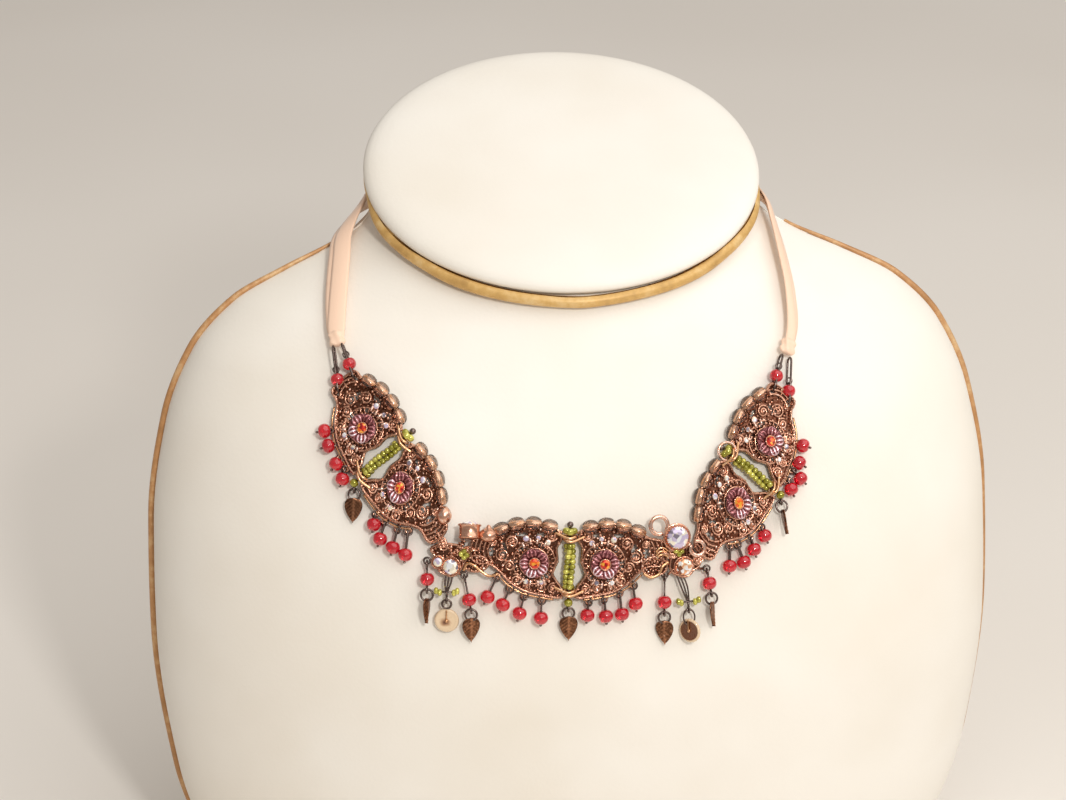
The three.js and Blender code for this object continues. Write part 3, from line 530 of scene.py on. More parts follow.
def slab(outline, thick, holes=()):
    """A flat plate in the XY plane, centred on Z = 0, with holes cut through."""
    bm = bmesh.new()
    edges = []
    for loop in (outline, *holes):
        verts = [bm.verts.new((x, y, -thick / 2)) for x, y in loop]
        edges += [bm.edges.new(pair) for pair in zip(verts, verts[1:] + verts[:1])]
    bmesh.ops.triangle_fill(bm, edges=edges, use_beauty=True, use_dissolve=False)
    grown = bmesh.ops.extrude_face_region(bm, geom=bm.faces)
    top = [v for v in grown["geom"] if isinstance(v, bmesh.types.BMVert)]
    bmesh.ops.translate(bm, verts=top, vec=(0, 0, thick))
    return taken(bm, smooth=False)


def long_ring(start, end, across, radius, wire):
    """A ring with straight sides and round ends, standing across the line between two points."""
    along = (end - start).normalized()
    upright = along.cross(across).normalized().cross(along)
    points = []
    for centre, middle in ((end - along * radius, 0), (start + along * radius, 180)):
        for i in range(9):
            a = radians(middle - 90 + 180 * i / 8)
            points.append(centre + along * (radius * cos(a)) + upright * (radius * sin(a)))
    return tube(points, wire, 6, True)


class Piece:
    """Shapes gathered into one object, each with its place, its tone and its material."""

    def __init__(self, name, *materials):
        self.name = name
        self.materials = materials
        self.parts = []

    def add(self, shape, place=None, tone=0.5, material=0):
        """Adds a shape; with a tone of None, the tones that its own points carry are kept."""
        points = shape.points
        if tone is None:
            tone = shape.strip[:, 2]
        if place is not None:
            turn = np.array(place)
            points = points @ turn[:3, :3].T + turn[:3, 3]
        self.parts.append((shape, points, tone, material))

    def wire(self, points, radius, place=None, tone=0.7, sides=6, **shape):
        self.add(tube(points, radius, sides, **shape), place, tone)

    def mesh(self):
        shapes, points, tones, materials = zip(*self.parts)
        starts = np.cumsum([0, *(len(places) for places in points)])
        loops = np.concatenate([shape.loops + start for shape, start in zip(shapes, starts)])
        sizes = np.concatenate([shape.sizes for shape in shapes])
        faces = [len(shape.sizes) for shape in shapes]
        placed = np.concatenate(points) * MM + np.array(SHIFT)
        mesh = bpy.data.meshes.new(self.name)
        mesh.vertices.add(len(placed))
        mesh.vertices.foreach_set("co", placed.ravel())
        mesh.loops.add(len(loops))
        mesh.loops.foreach_set("vertex_index", loops)
        mesh.polygons.add(len(sizes))
        mesh.polygons.foreach_set("loop_start", np.concatenate([[0], np.cumsum(sizes)[:-1]]))
        mesh.polygons.foreach_set("material_index", np.repeat(materials, faces))
        mesh.polygons.foreach_set("use_smooth", np.repeat([shape.smooth for shape in shapes], faces))
        mesh.update(calc_edges=True)
        even = [np.full(len(places), tone) for places, tone in zip(points, tones)]
        tone_layer = mesh.attributes.new("tone", "FLOAT", "POINT")
        tone_layer.data.foreach_set("value", np.concatenate(even).astype(np.float32))
        strips = np.concatenate([shape.strip for shape in shapes]).astype(np.float32)
        mesh.attributes.new("strip", "FLOAT_VECTOR", "POINT").data.foreach_set("vector", strips.ravel())
        return mesh

    def finish(self, slot, *nodes):
        """Makes the object, lets it ride on the part and stand for the CAD nodes."""
        if not self.parts:
            raise RuntimeError(f"{self.name} has no shapes")
        piece = bpy.data.objects.new(self.name, self.mesh())
        for material in self.materials:
            piece.data.materials.append(MATERIALS[material])
        bpy.context.scene.collection.objects.link(piece)
        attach(piece, BODY)
        if nodes:
            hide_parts(*nodes)
        return piece


def bust_shift():
    """The bust frame's origin in the part's frame, in metres."""
    low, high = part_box("bust_form")
    return Vector(((low.x + high.x) / 2, low.y - WIDEST_FRONT * MM, low.z))


SHIFT = bust_shift()


Settings = namedtuple("Settings", "bust sizes stage")


def settings():
    scene = bpy.context.scene
    return Settings(scene.choker_bust, scene.choker_sizes, scene.choker_stage)


def mm(size):
    return size / MM


# ------------------------------------------------------------------ materials


def add_node(tree, kind, inputs=None, **settings_of_node):
    """Adds a shader node with its settings; an input is a value or the socket that feeds it."""
    node = tree.nodes.new("ShaderNode" + kind)
    for key, value in settings_of_node.items():
        setattr(node, key, value)
    for key, value in (inputs or {}).items():
        if isinstance(value, bpy.types.NodeSocket):
            tree.links.new(value, node.inputs[key])
        else:
            node.inputs[key].default_value = value
    return node


def per(millimetres):
    """Repeats in a metre of a pattern that has this size."""
    return 1 / (millimetres * MM)


def mixed(a, b, share):
    """A linear colour mixed with another, or with an sRGB hex code."""
    other = linear(b) if isinstance(b, str) else b
    return [x + (y - x) * share for x, y in zip(a, other)]


MIDDLE = {"From Min": 0.3, "From Max": 0.7}  # where most of a noise lies


class Look:
    """A material with its even values on the shader's own sockets, and ways to feed the others."""

    def __init__(self, name, uniform):
        self.material = bpy.data.materials.new(name)
        self.material.use_nodes = True
        self.tree = self.material.node_tree
        self.shader = self.tree.nodes["Principled BSDF"]
        self.where = add_node(self.tree, "TexCoord").outputs["Object"]
        for key, value in uniform.items():
            self.shader.inputs[key].default_value = value

    def noise(self, size, Detail=2, **inputs):
        """Clouds that are this many millimetres across."""
        fed = {"Vector": self.where, "Scale": per(size), "Detail": Detail, **inputs}
        return add_node(self.tree, "TexNoise", fed).outputs["Fac"]

    def cells(self, size, **kind):
        return add_node(self.tree, "TexVoronoi", {"Vector": self.where, "Scale": per(size)}, **kind)

    def carried(self, name, output="Fac"):
        """What the piece's own points carry under this name."""
        return add_node(self.tree, "Attribute", attribute_name=name).outputs[output]

    def reckon(self, operation, *values):
        return add_node(self.tree, "Math", dict(enumerate(values)), operation=operation).outputs[0]

    def spread(self, level, low, high, **limits):
        fed = {"Value": level, "To Min": low, "To Max": high, **limits}
        return add_node(self.tree, "MapRange", fed).outputs["Result"]

    def feed(self, output, socket):
        self.tree.links.new(output, self.shader.inputs[socket])

    def roughen(self, level, low, high, **limits):
        self.feed(self.spread(level, low, high, **limits), "Roughness")

    def emboss(self, height, depth, strength):
        bump = add_node(self.tree, "Bump", {"Height": height, "Distance": depth * MM, "Strength": strength})
        self.feed(bump.outputs["Normal"], "Normal")

    def colour(self, level, stops, interpolation="LINEAR"):
        """Colours by a ramp; each stop is a position and a linear colour."""
        ramp = add_node(self.tree, "ValToRGB", {"Fac": level})
        elements = ramp.color_ramp.elements
        while len(elements) < len(stops):
            elements.new(1)
        for element, (position, colour) in zip(elements, stops):
            element.position = position
            element.color = (*colour, 1)
        ramp.color_ramp.interpolation = interpolation
        self.feed(ramp.outputs["Color"], "Base Color")


def leatherette(bust):
    """PVC leatherette, heat-stretched: a soft sheen over a pebble grain, slightly yellowed in patches."""
    look = Look("pvc_leatherette_cream", {"IOR": 1.45})
    look.colour(look.noise(70, Detail=3), [(0.3, mixed(bust.skin, "#d9cbb4", 0.35)), (0.62, bust.skin)])
    # the real grain is finer than can be seen; it is drawn at the setting's coarser spacing
    pebbles = look.cells(mm(bust.grain), feature="SMOOTH_F1").outputs["Distance"]
    look.emboss(look.reckon("ADD", pebbles, look.noise(26)), 0.05, 0.6)
    look.roughen(pebbles, 0.68, 0.54)
    return look.material


def gold_leatherette(name, base):
    """Gold-tanned leatherette wrapped round a cord, creased across: darker in stains and in the crease
    hollows, where the darkening is painted shade, and lighter on the crease ridges and in patches.
    """
    look = Look(name, {"Metallic": 0.15, "IOR": 1.5})
    creases, stains = look.noise(2.6, Detail=5, Roughness=0.65), look.noise(11)
    level = look.reckon("MULTIPLY", look.reckon("ADD", creases, stains), 0.5)
    # the dark stop is painted shade in the crease hollows, because it follows the same noise as the bump, and
    # stains in the broad patches
    stain_and_crease_shade, rubbed = mixed(base, "#7a4f20", 0.4), mixed(base, "#f6dfae", 0.5)
    look.colour(level, [(0.32, stain_and_crease_shade), (0.5, base), (0.68, rubbed)])
    look.emboss(creases, 0.2, 0.6)
    look.roughen(stains, 0.32, 0.55)
    return look.material


def satin(sizes):
    """Woven polyester satin: long floats along the ribbon, with a sheen that follows its crown."""
    look = Look("polyester_satin_salmon",
                {"Sheen Weight": 0.35, "Sheen Roughness": 0.3, "IOR": 1.5, "Anisotropic": 0.5})
    # floats: about 40 across the width and 4 mm long
    strip = look.carried("strip", "Vector")
    floats = add_node(look.tree, "Mapping", {"Vector": strip, "Scale": (80, 60, 1)}).outputs["Vector"]
    threads = look.noise(1, Vector=floats, Scale=1)
    shade_and_gloss_patches = look.noise(7)
    # the two darker stops are painted shade; they show where the broad patches are low and on parts given a
    # low tone, the lower ply and the left gather
    level = look.reckon("MULTIPLY_ADD", threads, 0.4, look.reckon("ADD", shade_and_gloss_patches, look.carried("tone")))
    look.colour(level, [(0.5, mixed(sizes.satin, "#a8714a", 0.6)), (0.85, mixed(sizes.satin, "#dca17a", 0.4)),
                        (1, sizes.satin)])
    look.emboss(threads, 0.04, 0.5)
    look.roughen(shade_and_gloss_patches, 0.28, 0.42)
    return look.material


def metal(name, dark, light, rough):
    """Cast and drawn metal, dipped dark and rubbed bright: `tone` says how far a part was rubbed, and at its
    highest it reaches a painted highlight.
    """
    look = Look(name, {"Metallic": 1})
    specks = look.noise(0.7, Detail=3, Roughness=0.6)
    # the last stop, the rubbed colour whitened, is a painted highlight on the parts toned highest
    look.colour(
        look.reckon("ADD", look.carried("tone"), look.spread(specks, -0.28, 0.22, **MIDDLE)),
        [(0, dark), (0.38, mixed(dark, light, 0.3)), (0.7, mixed(dark, light, 0.85)), (0.95, light),
         (1, mixed(light, (1, 0.93, 0.88), 0.35))])
    look.roughen(specks, rough[1], rough[0], **MIDDLE)
    look.emboss(specks, 0.05, 0.5)
    return look.material


def lustre(sizes):
    """Lustred copper petals: dark wine in the hollows and pearly lilac on the ribs."""
    look = Look("lustred_copper_wine", {"Metallic": 0.55, "Coat Weight": 0.5, "Coat Roughness": 0.08})
    cloud = look.noise(1.1)
    look.colour(
        look.reckon("MULTIPLY_ADD", cloud, 0.4, look.carried("tone")),
        [(0.2, mixed(sizes.lustre, (0.02, 0, 0), 0.5)), (0.45, mixed(sizes.lustre, "#8a4a44", 0.45)),
         (0.75, linear("#c8878a")), (1, linear("#f4e4ec"))])
    look.roughen(cloud, 0.14, 0.34)
    return look.material


def glass(name, dark, light, uniform, speck=2.5, share=1.0):
    """Pressed glass: streaks of lighter glass, which on the olive seed beads are painted sparkle, a painted
    highlight; clear through by the shader's own transmission.
    """
    look = Look(name, {"IOR": 1.5, **uniform})
    melt_and_sparkle = look.noise(speck)
    look.colour(look.reckon("MULTIPLY_ADD", melt_and_sparkle, share, look.carried("tone")),
                [(0.45 * share + 0.1, dark), (0.55 * share + 0.7, light)])
    look.roughen(melt_and_sparkle, 0.02, 0.07)
    return look.material


def foiled_crystal(name, painted_glints, size, uniform):
    """Foil-backed cut glass, coloured in small cells of white, tint and grey: painted reflections that stand
    for the light each facet gives back.
    """
    look = Look(name, {"IOR": 1.58, "Roughness": 0.03, **uniform})
    stops = [(position, linear(code)) for position, code in painted_glints]
    look.colour(look.cells(size).outputs["Color"], stops, "CONSTANT")
    return look.material


def shell_disc(sizes):
    """Polished shell: cream with a brown heart; `tone` is how brown it is."""
    look = Look("polished_shell_cream", {"Coat Weight": 0.4, "IOR": 1.53})
    bands = look.noise(1.7, Detail=4, Distortion=1.2)
    look.colour(
        look.reckon("MULTIPLY_ADD", bands, 0.5, look.carried("tone")),
        [(0.3, sizes.shell), (0.55, mixed(sizes.shell, "#a9764c", 0.7)), (0.85, linear("#6b3f22"))])
    look.roughen(bands, 0.18, 0.4)
    return look.material


MATERIALS = {}


def make_materials():
    bust, sizes, _ = settings()
    # the paler olive is painted sparkle: painted highlight
    dark_olive, sparkle_olive = mixed(sizes.olive, (0.02, 0.02, 0), 0.35), mixed(sizes.olive, "#f4ec7a", 0.65)
    foil = {"Metallic": 0.35, "Transmission Weight": 0.15}
    MATERIALS.update(
        leatherette=leatherette(bust),
        piping=gold_leatherette("pvc_leatherette_gold", mixed(bust.piping, "#f0cf95", 0.3)),
        # the outline piping is the same gold piping painted darker and browner: painted shade
        edging=gold_leatherette("pvc_leatherette_gold_rubbed", mixed(bust.piping, "#b98668", 0.6)),
        seam=metal("waxed_thread_brown", linear("#4a2c14"), linear("#8a5c2c"), (0.7, 0.9)),
        satin=satin(sizes),
        # antiqued copper casting: brown recesses and rubbed pinkish tops
        copper=metal("antiqued_copper", list(sizes.patina), list(sizes.copper), (0.14, 0.36)),
        # drawn copper wire, only lightly toned
        gold_wire=metal("drawn_copper_wire", linear("#6f3f26"), linear("#e0ae82"), (0.18, 0.34)),
        # gun-metal plated pins and rings
        steel=metal("gunmetal_wire", linear("#352b28"), list(sizes.steel), (0.2, 0.4)),
        lustre=lustre(sizes),
        # solid coloured glass, moulded and fire-polished
        red=glass("pressed_glass_red", sizes.red, mixed(sizes.red, "#ff3038", 0.6),
                  {"Transmission Weight": 0.5, "Coat Weight": 0.8}),
        # seed beads lined with silver, so they gleam from inside; their paler patches are painted sparkle, a
        # painted highlight
        olive=glass("silver_lined_glass_olive", dark_olive, sparkle_olive, {"Metallic": 0.4, "Coat Weight": 0.8},
                    share=0.9),
        # clear glass over a copper lining
        clear=glass("copper_lined_glass_clear", linear("#e0c4b2"), linear("#efdccf"),
                    {"Transmission Weight": 1}, speck=6),
        # the three cut-glass colours below are laid in cells of painted reflection
        crystal=foiled_crystal(
            "foiled_crystal_white", [(0, "#ffffff"), (0.4, "#d9cbe6"), (0.6, "#fff6e0"), (0.78, "#8d8494")],
            1.1, foil),
        champagne=foiled_crystal(
            "foiled_crystal_champagne",
            [(0, "#fff0dc"), (0.35, "#f0b184"), (0.6, "#ffffff"), (0.8, "#8a5236")], 0.9, foil),
        fire=foiled_crystal(
            "foiled_crystal_orange",
            [(0, "#e02a10"), (0.45, "#ff6a1a"), (0.62, "#ffb03a"), (0.78, "#9c0c08")], 0.7,
            {"Metallic": 0.3, "Transmission Weight": 0.1, "Coat Weight": 0.5}),
        shell=shell_disc(sizes),
        # cast leaves, bronzed brown and rubbed along their veins
        leaf=metal("bronzed_copper_leaf", linear("#3a2216"), linear("#b27c5c"), (0.22, 0.4)),
    )


# ------------------------------------------------------------------ the bust


def bust_cover():
    """The covered chest and neck, from the rolled bottom edge to the end under the cap."""
    sides, levels, neck_rows, roll = 144, 40, 48, 2.5
    heights = [roll * (i / 5) ** 2 for i in range(5)] + [
        roll + (SHOULDER - roll) * i / levels for i in range(levels + 1)]
    rows = len(heights) + neck_rows - 1
    tops = {}

    def place(u, v):
        row = round(v * rows)
        angle = TAU * (round(u * sides) % sides) / sides
        if row >= len(heights):
            top = tops.setdefault(angle, neck_top(angle))
            share = (row - len(heights) + 1) / neck_rows
            return skin_at(angle, SHOULDER + share * (top - SHOULDER))
        z = heights[row]
        inset = roll * (1 - sqrt(1 - max(0, 1 - z / roll) ** 2))
        return skin_at(angle, z) - skin_normal(angle, max(z, 0.5)) * inset

    return wrapped(sides, rows, place)


def neck_cap():
    """The oval cap: slightly domed, with a soft rolled rim."""
    profile = [
        (0, -1.5), (0.95, -1.5), (0.985, -1.1), (1, -0.3), (1, 0.6), (0.99, 1.6), (0.965, 2.5), (0.925, 3.3),
        (0.86, 3.95), (0.75, 4.5), (0.6, 4.95), (0.4, 5.3), (0.2, 5.5), (0, 5.6)]
    stretch = Matrix.Diagonal((CAP["half_width"], CAP["half_depth"], 1, 1))
    return lathe(profile, 128), CAP_FRAME @ stretch @ UPRIGHT


def neck_piping(drop, offset, wire, waver=0.0):
    """A tube round the neck under the cap: `drop` under its rim and `offset` off the skin."""
    steps = 168
    line = []
    for i in range(steps):
        angle = TAU * i / steps
        z = CAP["z"]
        for _ in range(12):
            point = skin_at(angle, z) + skin_normal(angle, z) * offset
            z += tilted_plane(point.y, drop) - point.z
        uneven = waver * (sin(angle * 9) + 0.6 * sin(angle * 23 + 1))
        line.append(skin_at(angle, z) + skin_normal(angle, z) * (offset + uneven))
    return tube(line, wire, 12, closed=True)


def seam_line(side, low, high, offset, steps):
    line = []
    for i in range(steps + 1):
        z = low + (high - low) * sin(i / steps * pi / 2)
        line.append(skin_at(side * pi / 2, z) + skin_normal(side * pi / 2, z) * offset)
    return line


def make_bust():
    cover = Piece("bust_cover", "leatherette")
    cover.add(bust_cover())
    for side in (-1, 1):  # the pale seam that goes on above the piping
        cover.wire(seam_line(side, SEAM_TOP - 2, neck_top(side * pi / 2) - 1, 0.05, 40), 0.3)
    cover.finish("leatherette", "bust_form")
    cap = Piece("neck_cap_cover", "leatherette")
    cap.add(*neck_cap())
    cap.finish("leatherette", "neck_cap")


def make_piping(bust):
    radius, seam = mm(bust.piping_radius), mm(bust.seam_radius)
    ring = Piece("neck_piping_cover", "piping", "seam")
    ring.add(neck_piping(0.7 + radius, radius + 0.9, radius, 0.07))
    ring.add(neck_piping(0.95, radius + 1.6, 0.28), tone=0.5, material=1)
    ring.finish("gold_piping", "cap_piping")
    for side, name in ((-1, "left"), (1, "right")):
        # the outline piping takes the darker copy of the gold piping, a painted shade
        edge = Piece(f"seam_piping_{name}_cover", "edging")
        line = seam_line(side, seam + 0.2, SEAM_TOP + 0.6, seam * 0.5, 120)
        edge.add(tube(line, 0.9 * seam, 10, taper=lambda share: 1 - 0.62 * smooth_step(0.66, 1, share)))
        edge.finish("gold_piping", f"seam_piping_{name}")


# ------------------------------------------------------------------ the ribbon


def ribbon_route(number, way):
    """Gives the middle, the width direction and the outward direction at a share of a ribbon's way."""
    side = side_of(number)
    points = [on_link(number, x, y) for x, y in RIBBON_END]
    normals = [axis_of(LINK_SEATS[number], 2)] * len(points)
    turns = [Vector((0, 0, 0))] * len(points)
    for bearing, z, turn in way:
        angle = radians(bearing)
        normal = skin_normal(angle, z)
        lift = RIBBON_LIFT + RIBBON_FOLDED / 2 * sin(radians(turn))
        points.append(skin_at(angle, z) + normal * lift)
        normals.append(normal)
        turns.append(Vector((radians(turn), 0, 0)))

    def at(share):
        along = (through(points, share + 0.002) - through(points, share - 0.002)).normalized()
        if share < 0.003 or share > 0.997:
            near = min(max(share, 0.004), 0.996)
            along = (through(points, near + 0.003) - through(points, near - 0.003)).normalized()
        across = through(normals, share).normalized().cross(along).normalized() * side
        across.rotate(Quaternion(along, through(turns, share).x))
        return through(points, share), across, along.cross(across).normalized() * side

    return at


def satin_ply(route, width, thick, lift, shift, start, end):
    """One layer of the ribbon: width, lift and shift are functions of the share of the way."""
    flat, rows = 9, 150

    def place(u, v):
        share = start + (end - start) * round(v * rows) / rows
        corner = round(u * flat * 2) % (flat * 2)
        top = corner < flat
        s = corner / (flat - 1) - 0.5 if top else 0.5 - (corner - flat) / (flat - 1)
        point, across, out = route(share)
        crown = 0.35 * (1 - 4 * s * s)
        height = lift(share) + crown + (thick / 2 if top else -thick / 2)
        return point + across * (s * width(share) + shift(share)) + out * height

    return wrapped(flat * 2, rows, place)


def gathered(length, half_width, half_thick, pleats, waist=0.0):
    """A pleated lump of satin along Y, as wide as X and as thick as Z."""

    def place(u, v):
        a = TAU * u
        y = cos(pi * v)
        swell = sin(pi * v) ** 0.55 * (1 - waist * exp(-(y / 0.35) ** 2))
        fold = 1 + 0.09 * cos(pleats * a + 2 * y)
        return Vector((half_width * swell * fold * cos(a), length / 2 * -y,
                       half_thick * swell * fold * sin(a)))

    return wrapped(48, 24, place)


def smooth_step(low, high, value):
    t = min(max((value - low) / (high - low), 0), 1)
    return t * t * (3 - 2 * t)


def make_ribbon(sizes):
    wide, ply = mm(sizes.ribbon_width), mm(sizes.ribbon_ply)
    for number, name, way in ((0, "left", RIBBON_LEFT), (5, "right", RIBBON_RIGHT)):
        route = ribbon_route(number, way)
        ribbon = Piece(f"ribbon_{name}_satin", "satin")

        def width(share):
            fold = smooth_step(0.08, 0.18, share) * (wide - RIBBON_FOLDED) if number == 5 else 0
            hem = 0.7 + 0.3 * smooth_step(RIBBON_HEM, RIBBON_HEM + 0.05, share)
            return (wide - fold) * hem * (1 - 0.2 * smooth_step(0.93, 1, share))

        def parting(share):  # the two layers slip apart where the ribbon turns round the neck
            return 0.7 * smooth_step(0.12, 0.3, share) * (1 - smooth_step(0.5, 0.9, share))

        under = satin_ply(
            route, width, ply, lambda _: -0.24, lambda share: -parting(share), RIBBON_HEM, 1)
        over = satin_ply(
            route, lambda share: 0.96 * width(share), ply, lambda share: 0.2 + 0.3 * parting(share),
            parting, RIBBON_HEM + 0.004, 1)
        # the lower ply has a lower tone than the upper one: painted shade under it
        ribbon.add(under, tone=0.42)
        ribbon.add(over, tone=0.5)
        point, across, out = route(RIBBON_HEM + 0.012)
        fold = basis(across, out.cross(across), out, point)
        # the left gather is toned darker than the right: painted shade
        tone = 0.3 if name == "left" else 0.52
        ribbon.add(gathered(4.6, 2.4, 1.3, 5, 0.25), fold, tone=tone)
        ribbon.finish("satin", f"ribbon_{name}")
    knot = Piece("ribbon_knot_satin", "satin")
    z = RIBBON_LEFT[-1][1]
    normal = skin_normal(pi, z)
    right = Vector((-1, 0, 0))
    place = basis(right, normal.cross(right), normal, skin_at(pi, z) + normal * 1.45)
    knot.add(gathered(7.6, 2.9, 1.3, 4), place, tone=0.45)
    knot.add(gathered(5.6, 2.2, 1.5, 3), place @ turned("Z", radians(70)), tone=0.35)
    knot.finish("satin", "ribbon_knot")


def make_end_loops(sizes):
    for number, way in ((0, RIBBON_LEFT), (5, RIBBON_RIGHT)):
        share = 1 / (len(RIBBON_END) - 1 + len(way))
        point, across, _ = ribbon_route(number, way)(share)
        towards = copysign(1, across.dot(axis_of(LINK_SEATS[number], 1)))
        outward = axis_of(LINK_SEATS[number], 2)
        for level, (x, y) in zip(("upper", "lower"), RIBBON_EYES):
            way_up = towards if level == "upper" else -towards
            start, end = on_link(number, x, y), point + across * (way_up * RIBBON_EYE_APART)
            loop = Piece(f"end_loop_{number + 1}_{level}_wire", "steel")
            loop.add(long_ring(start, end, outward, END_BEAD["loop"], 0.3), tone=0.55)
            share = END_BEAD["share"] if level == "upper" else END_BEAD["lower_share"]
            place = start.lerp(end, share) + outward * END_BEAD["rise"]
            along = (end - start).normalized()
            turn = basis(outward.cross(along) * -1, along, outward, place)
            loop.wire([place - along * 2.3, place + along * 2.3], 0.3, tone=0.6)
            loop.add(torus(0.8, 0.22), turn @ move(0, 2.7, 0), tone=0.6)
            loop.finish("dark_copper", f"end_loop_{number + 1}_{level}")
            red = Piece(f"end_loop_{number + 1}_{level}_bead", "red")
            red.add(bead(mm(sizes.red_bead) * 0.95, 1.6, 0.35), turn, tone=0.4)
            red.finish("red_glass")


# ------------------------------------------------------------------ the links

PETAL_EDGE = [(2.3, 7.4), (2.8, 9.4), (6, 10.6), (11.5, 10.9), (17.5, 9.2)]
CONNECTOR_END = [(21, 7.9), (24.4, 7.2), (25.4, 5.9), (25.4, 2.2), (24.2, 0.9), (20.6, 0.6)]
RIBBON_TIP = [(20, 8.6), (22, 8.5), (22.8, 7.6), (22.8, 1.2), (22, 0.2), (20, 0)]
LOWER_EDGE = [(18.3, -0.9), (15.2, -4), (11.4, -6.1), (7.4, -7), (1.9, -7.6)]
WAIST = [(1.9, -5.6), (4.4, -1.5), (3.2, 1.6), (3.4, 5.2)]
FLOWER_GAPS = (-125, -65, -5, 55, 115)

Scroll = namedtuple("Scroll", "x y radius turns start")
SCROLLS = [
    Scroll(4.7, 8.3, 1.5, 1.7, 200), Scroll(4.2, -5.4, 1.45, -1.7, 120), Scroll(13.7, -3.3, 1.6, 1.7, 60),
    Scroll(14.9, 6.5, 1.75, 1.7, -60), Scroll(17.4, 3.1, 1.9, -1.8, 100), Scroll(15.6, 0.2, 1.5, 1.6, 0),
    Scroll(7.3, -5.3, 1.2, 1.5, 90), Scroll(10.9, -5.2, 1.2, -1.5, 90), Scroll(19.9, 6.2, 1.1, 1.5, 0),
]
Gem = namedtuple("Gem", "x y radius")
GEMS = [
    Gem(5.7, 6.6, 0.7), Gem(8.2, 7.7, 0.6), Gem(11.4, 7.5, 0.75), Gem(7.2, -3.8, 0.6), Gem(11.2, -3.7, 0.65),
]
HIGHLIGHT_RODS = (60, 78, 96, 118, 238, 262, 284, 306)  # bearings from the flower of the polished rods, which carry a painted highlight
RAYS = 26  # round the flower
RIB_RADII = (3.9, 5, 6.1, 7.2)  # a link that holds the ribbon has room for the first two
RIBBON_LINKS = (0, 5)
LUGS = {1: (7.0, -7.2), -1: (7.9, -6.3)}  # heights of the wires that hold the bar's pin
LINK_SEED = 40


def link_corners(number):
    end = RIBBON_TIP if number in RIBBON_LINKS else CONNECTOR_END
    side = side_of(number)
    return [(side * x, y) for x, y in (*PETAL_EDGE, *end, *LOWER_EDGE, *WAIST)]


def oval(count, rx, ry, x, y, turn=0.0):
    points = []
    for i in range(count):
        a = TAU * i / count
        p = Vector((rx * cos(a), ry * sin(a)))
        p.rotate(Matrix.Rotation(turn, 2))
        points.append((p.x + x, p.y + y))
    return points


def link_holes(number):
    side = side_of(number)
    rows = []
    for bearing in FLOWER_GAPS:
        turn = radians(bearing)
        rows.append((FLOWER[0] + 5 * cos(turn), FLOWER[1] + 5 * sin(turn), 0.85, 1.8, turn))
    rows += [(7.2, 8.5, 1.6, 0.55, 0), (12.6, 8.5, 1.6, 0.55, 0), (17.1, 4.2, 0.9, 2.2, 0)]
    rows += [(x, y, 0.8, 0.8, 0) for x, y in (RIBBON_EYES if number in RIBBON_LINKS else [LINK_EYE])]
    if number not in RIBBON_LINKS:
        rows.append((20.4, 4.3, 1, 1.7, 0))
    return [oval(12, rx, ry, side * x, y, turn * side) for x, y, rx, ry, turn in rows]


def closed_line(corners, steps, z):
    """A smooth closed line through flat corners."""
    ring = [Vector((x, y, z)) for x, y in corners]
    count = len(ring)
    line = []
    for i in range(count):
        p0, p1, p2, p3 = (ring[(i + k) % count] for k in (-1, 0, 1, 2))
        line += [through([p0, p1, p2, p3], (1 + t / steps) / 3) for t in range(steps)]
    return line


def inside(corners, x, y):
    found = False
    for (x0, y0), (x1, y1) in zip(corners, corners[1:] + corners[:1]):
        if (y0 > y) != (y1 > y) and x < (x1 - x0) * (y - y0) / (y1 - y0) + x0:
            found = not found
    return found


def scattered(corners, count, apart, clear, rng):
    """Places inside an outline, some way apart and clear of round keep-outs (x, y, radius)."""
    xs, ys = [x for x, _ in corners], [y for _, y in corners]
    places = []
    for _ in range(count * 30):
        x, y = rng.uniform(min(xs), max(xs)), rng.uniform(min(ys), max(ys))
        if not inside(corners, x, y):
            continue
        if any((x - cx) ** 2 + (y - cy) ** 2 < r * r for cx, cy, r in clear):
            continue
        if any((x - px) ** 2 + (y - py) ** 2 < apart * apart for px, py in places):
            continue
        places.append((x, y))
        if len(places) == count:
            break
    return places


def saw_bezel(radius, height, teeth):
    """A thin wall whose upper edge is cut into points, open along Z."""

    def place(u, v):
        a = TAU * u
        corner = round(v * 3)
        top = corner in (1, 2)
        r = radius * (1.08 if corner in (0, 1) else 0.96) - (0.12 * radius if top else 0)
        z = height * (0.78 + 0.22 * cos(teeth * a)) if top else 0
        return polar(r, a, z)

    return wrapped(teeth * 4, 3, place, smooth=False)


def set_stone(piece, gems, place, radius):
    """A small stone in a ring of wire, on the metal piece and the gem piece."""
    piece.add(torus(radius * 1.05, radius * 0.2, 14, 5), place, 0.8)
    gems.add(cut_stone(radius), place @ move(0, 0, radius * 0.25), 0.8)


def u_wire(number, y, radius):
    """The wire that a link holds the bar's pin with: it dips in front of the pin and goes round it."""
    side = side_of(number)
    up = 1 if y > 0 else -1
    rows = [
        (3.9, y + 1.3, 0.5), (2.7, y + 0.75, 0.75), (1.3, y + 0.15, 1.1), (0, y - 0.1, 1.3),
        (-1.2, y + 0.25, 0.9),
        (-1.5, y + 0.5, 0), (-0.9, y + 0.5, -0.95), (0.6, y + 0.35, -1.1), (2.4, y + 0.4 * up, -0.5),
    ]
    return tube(smooth_line([(side * x, height, z) for x, height, z in rows], 36), radius, 8)


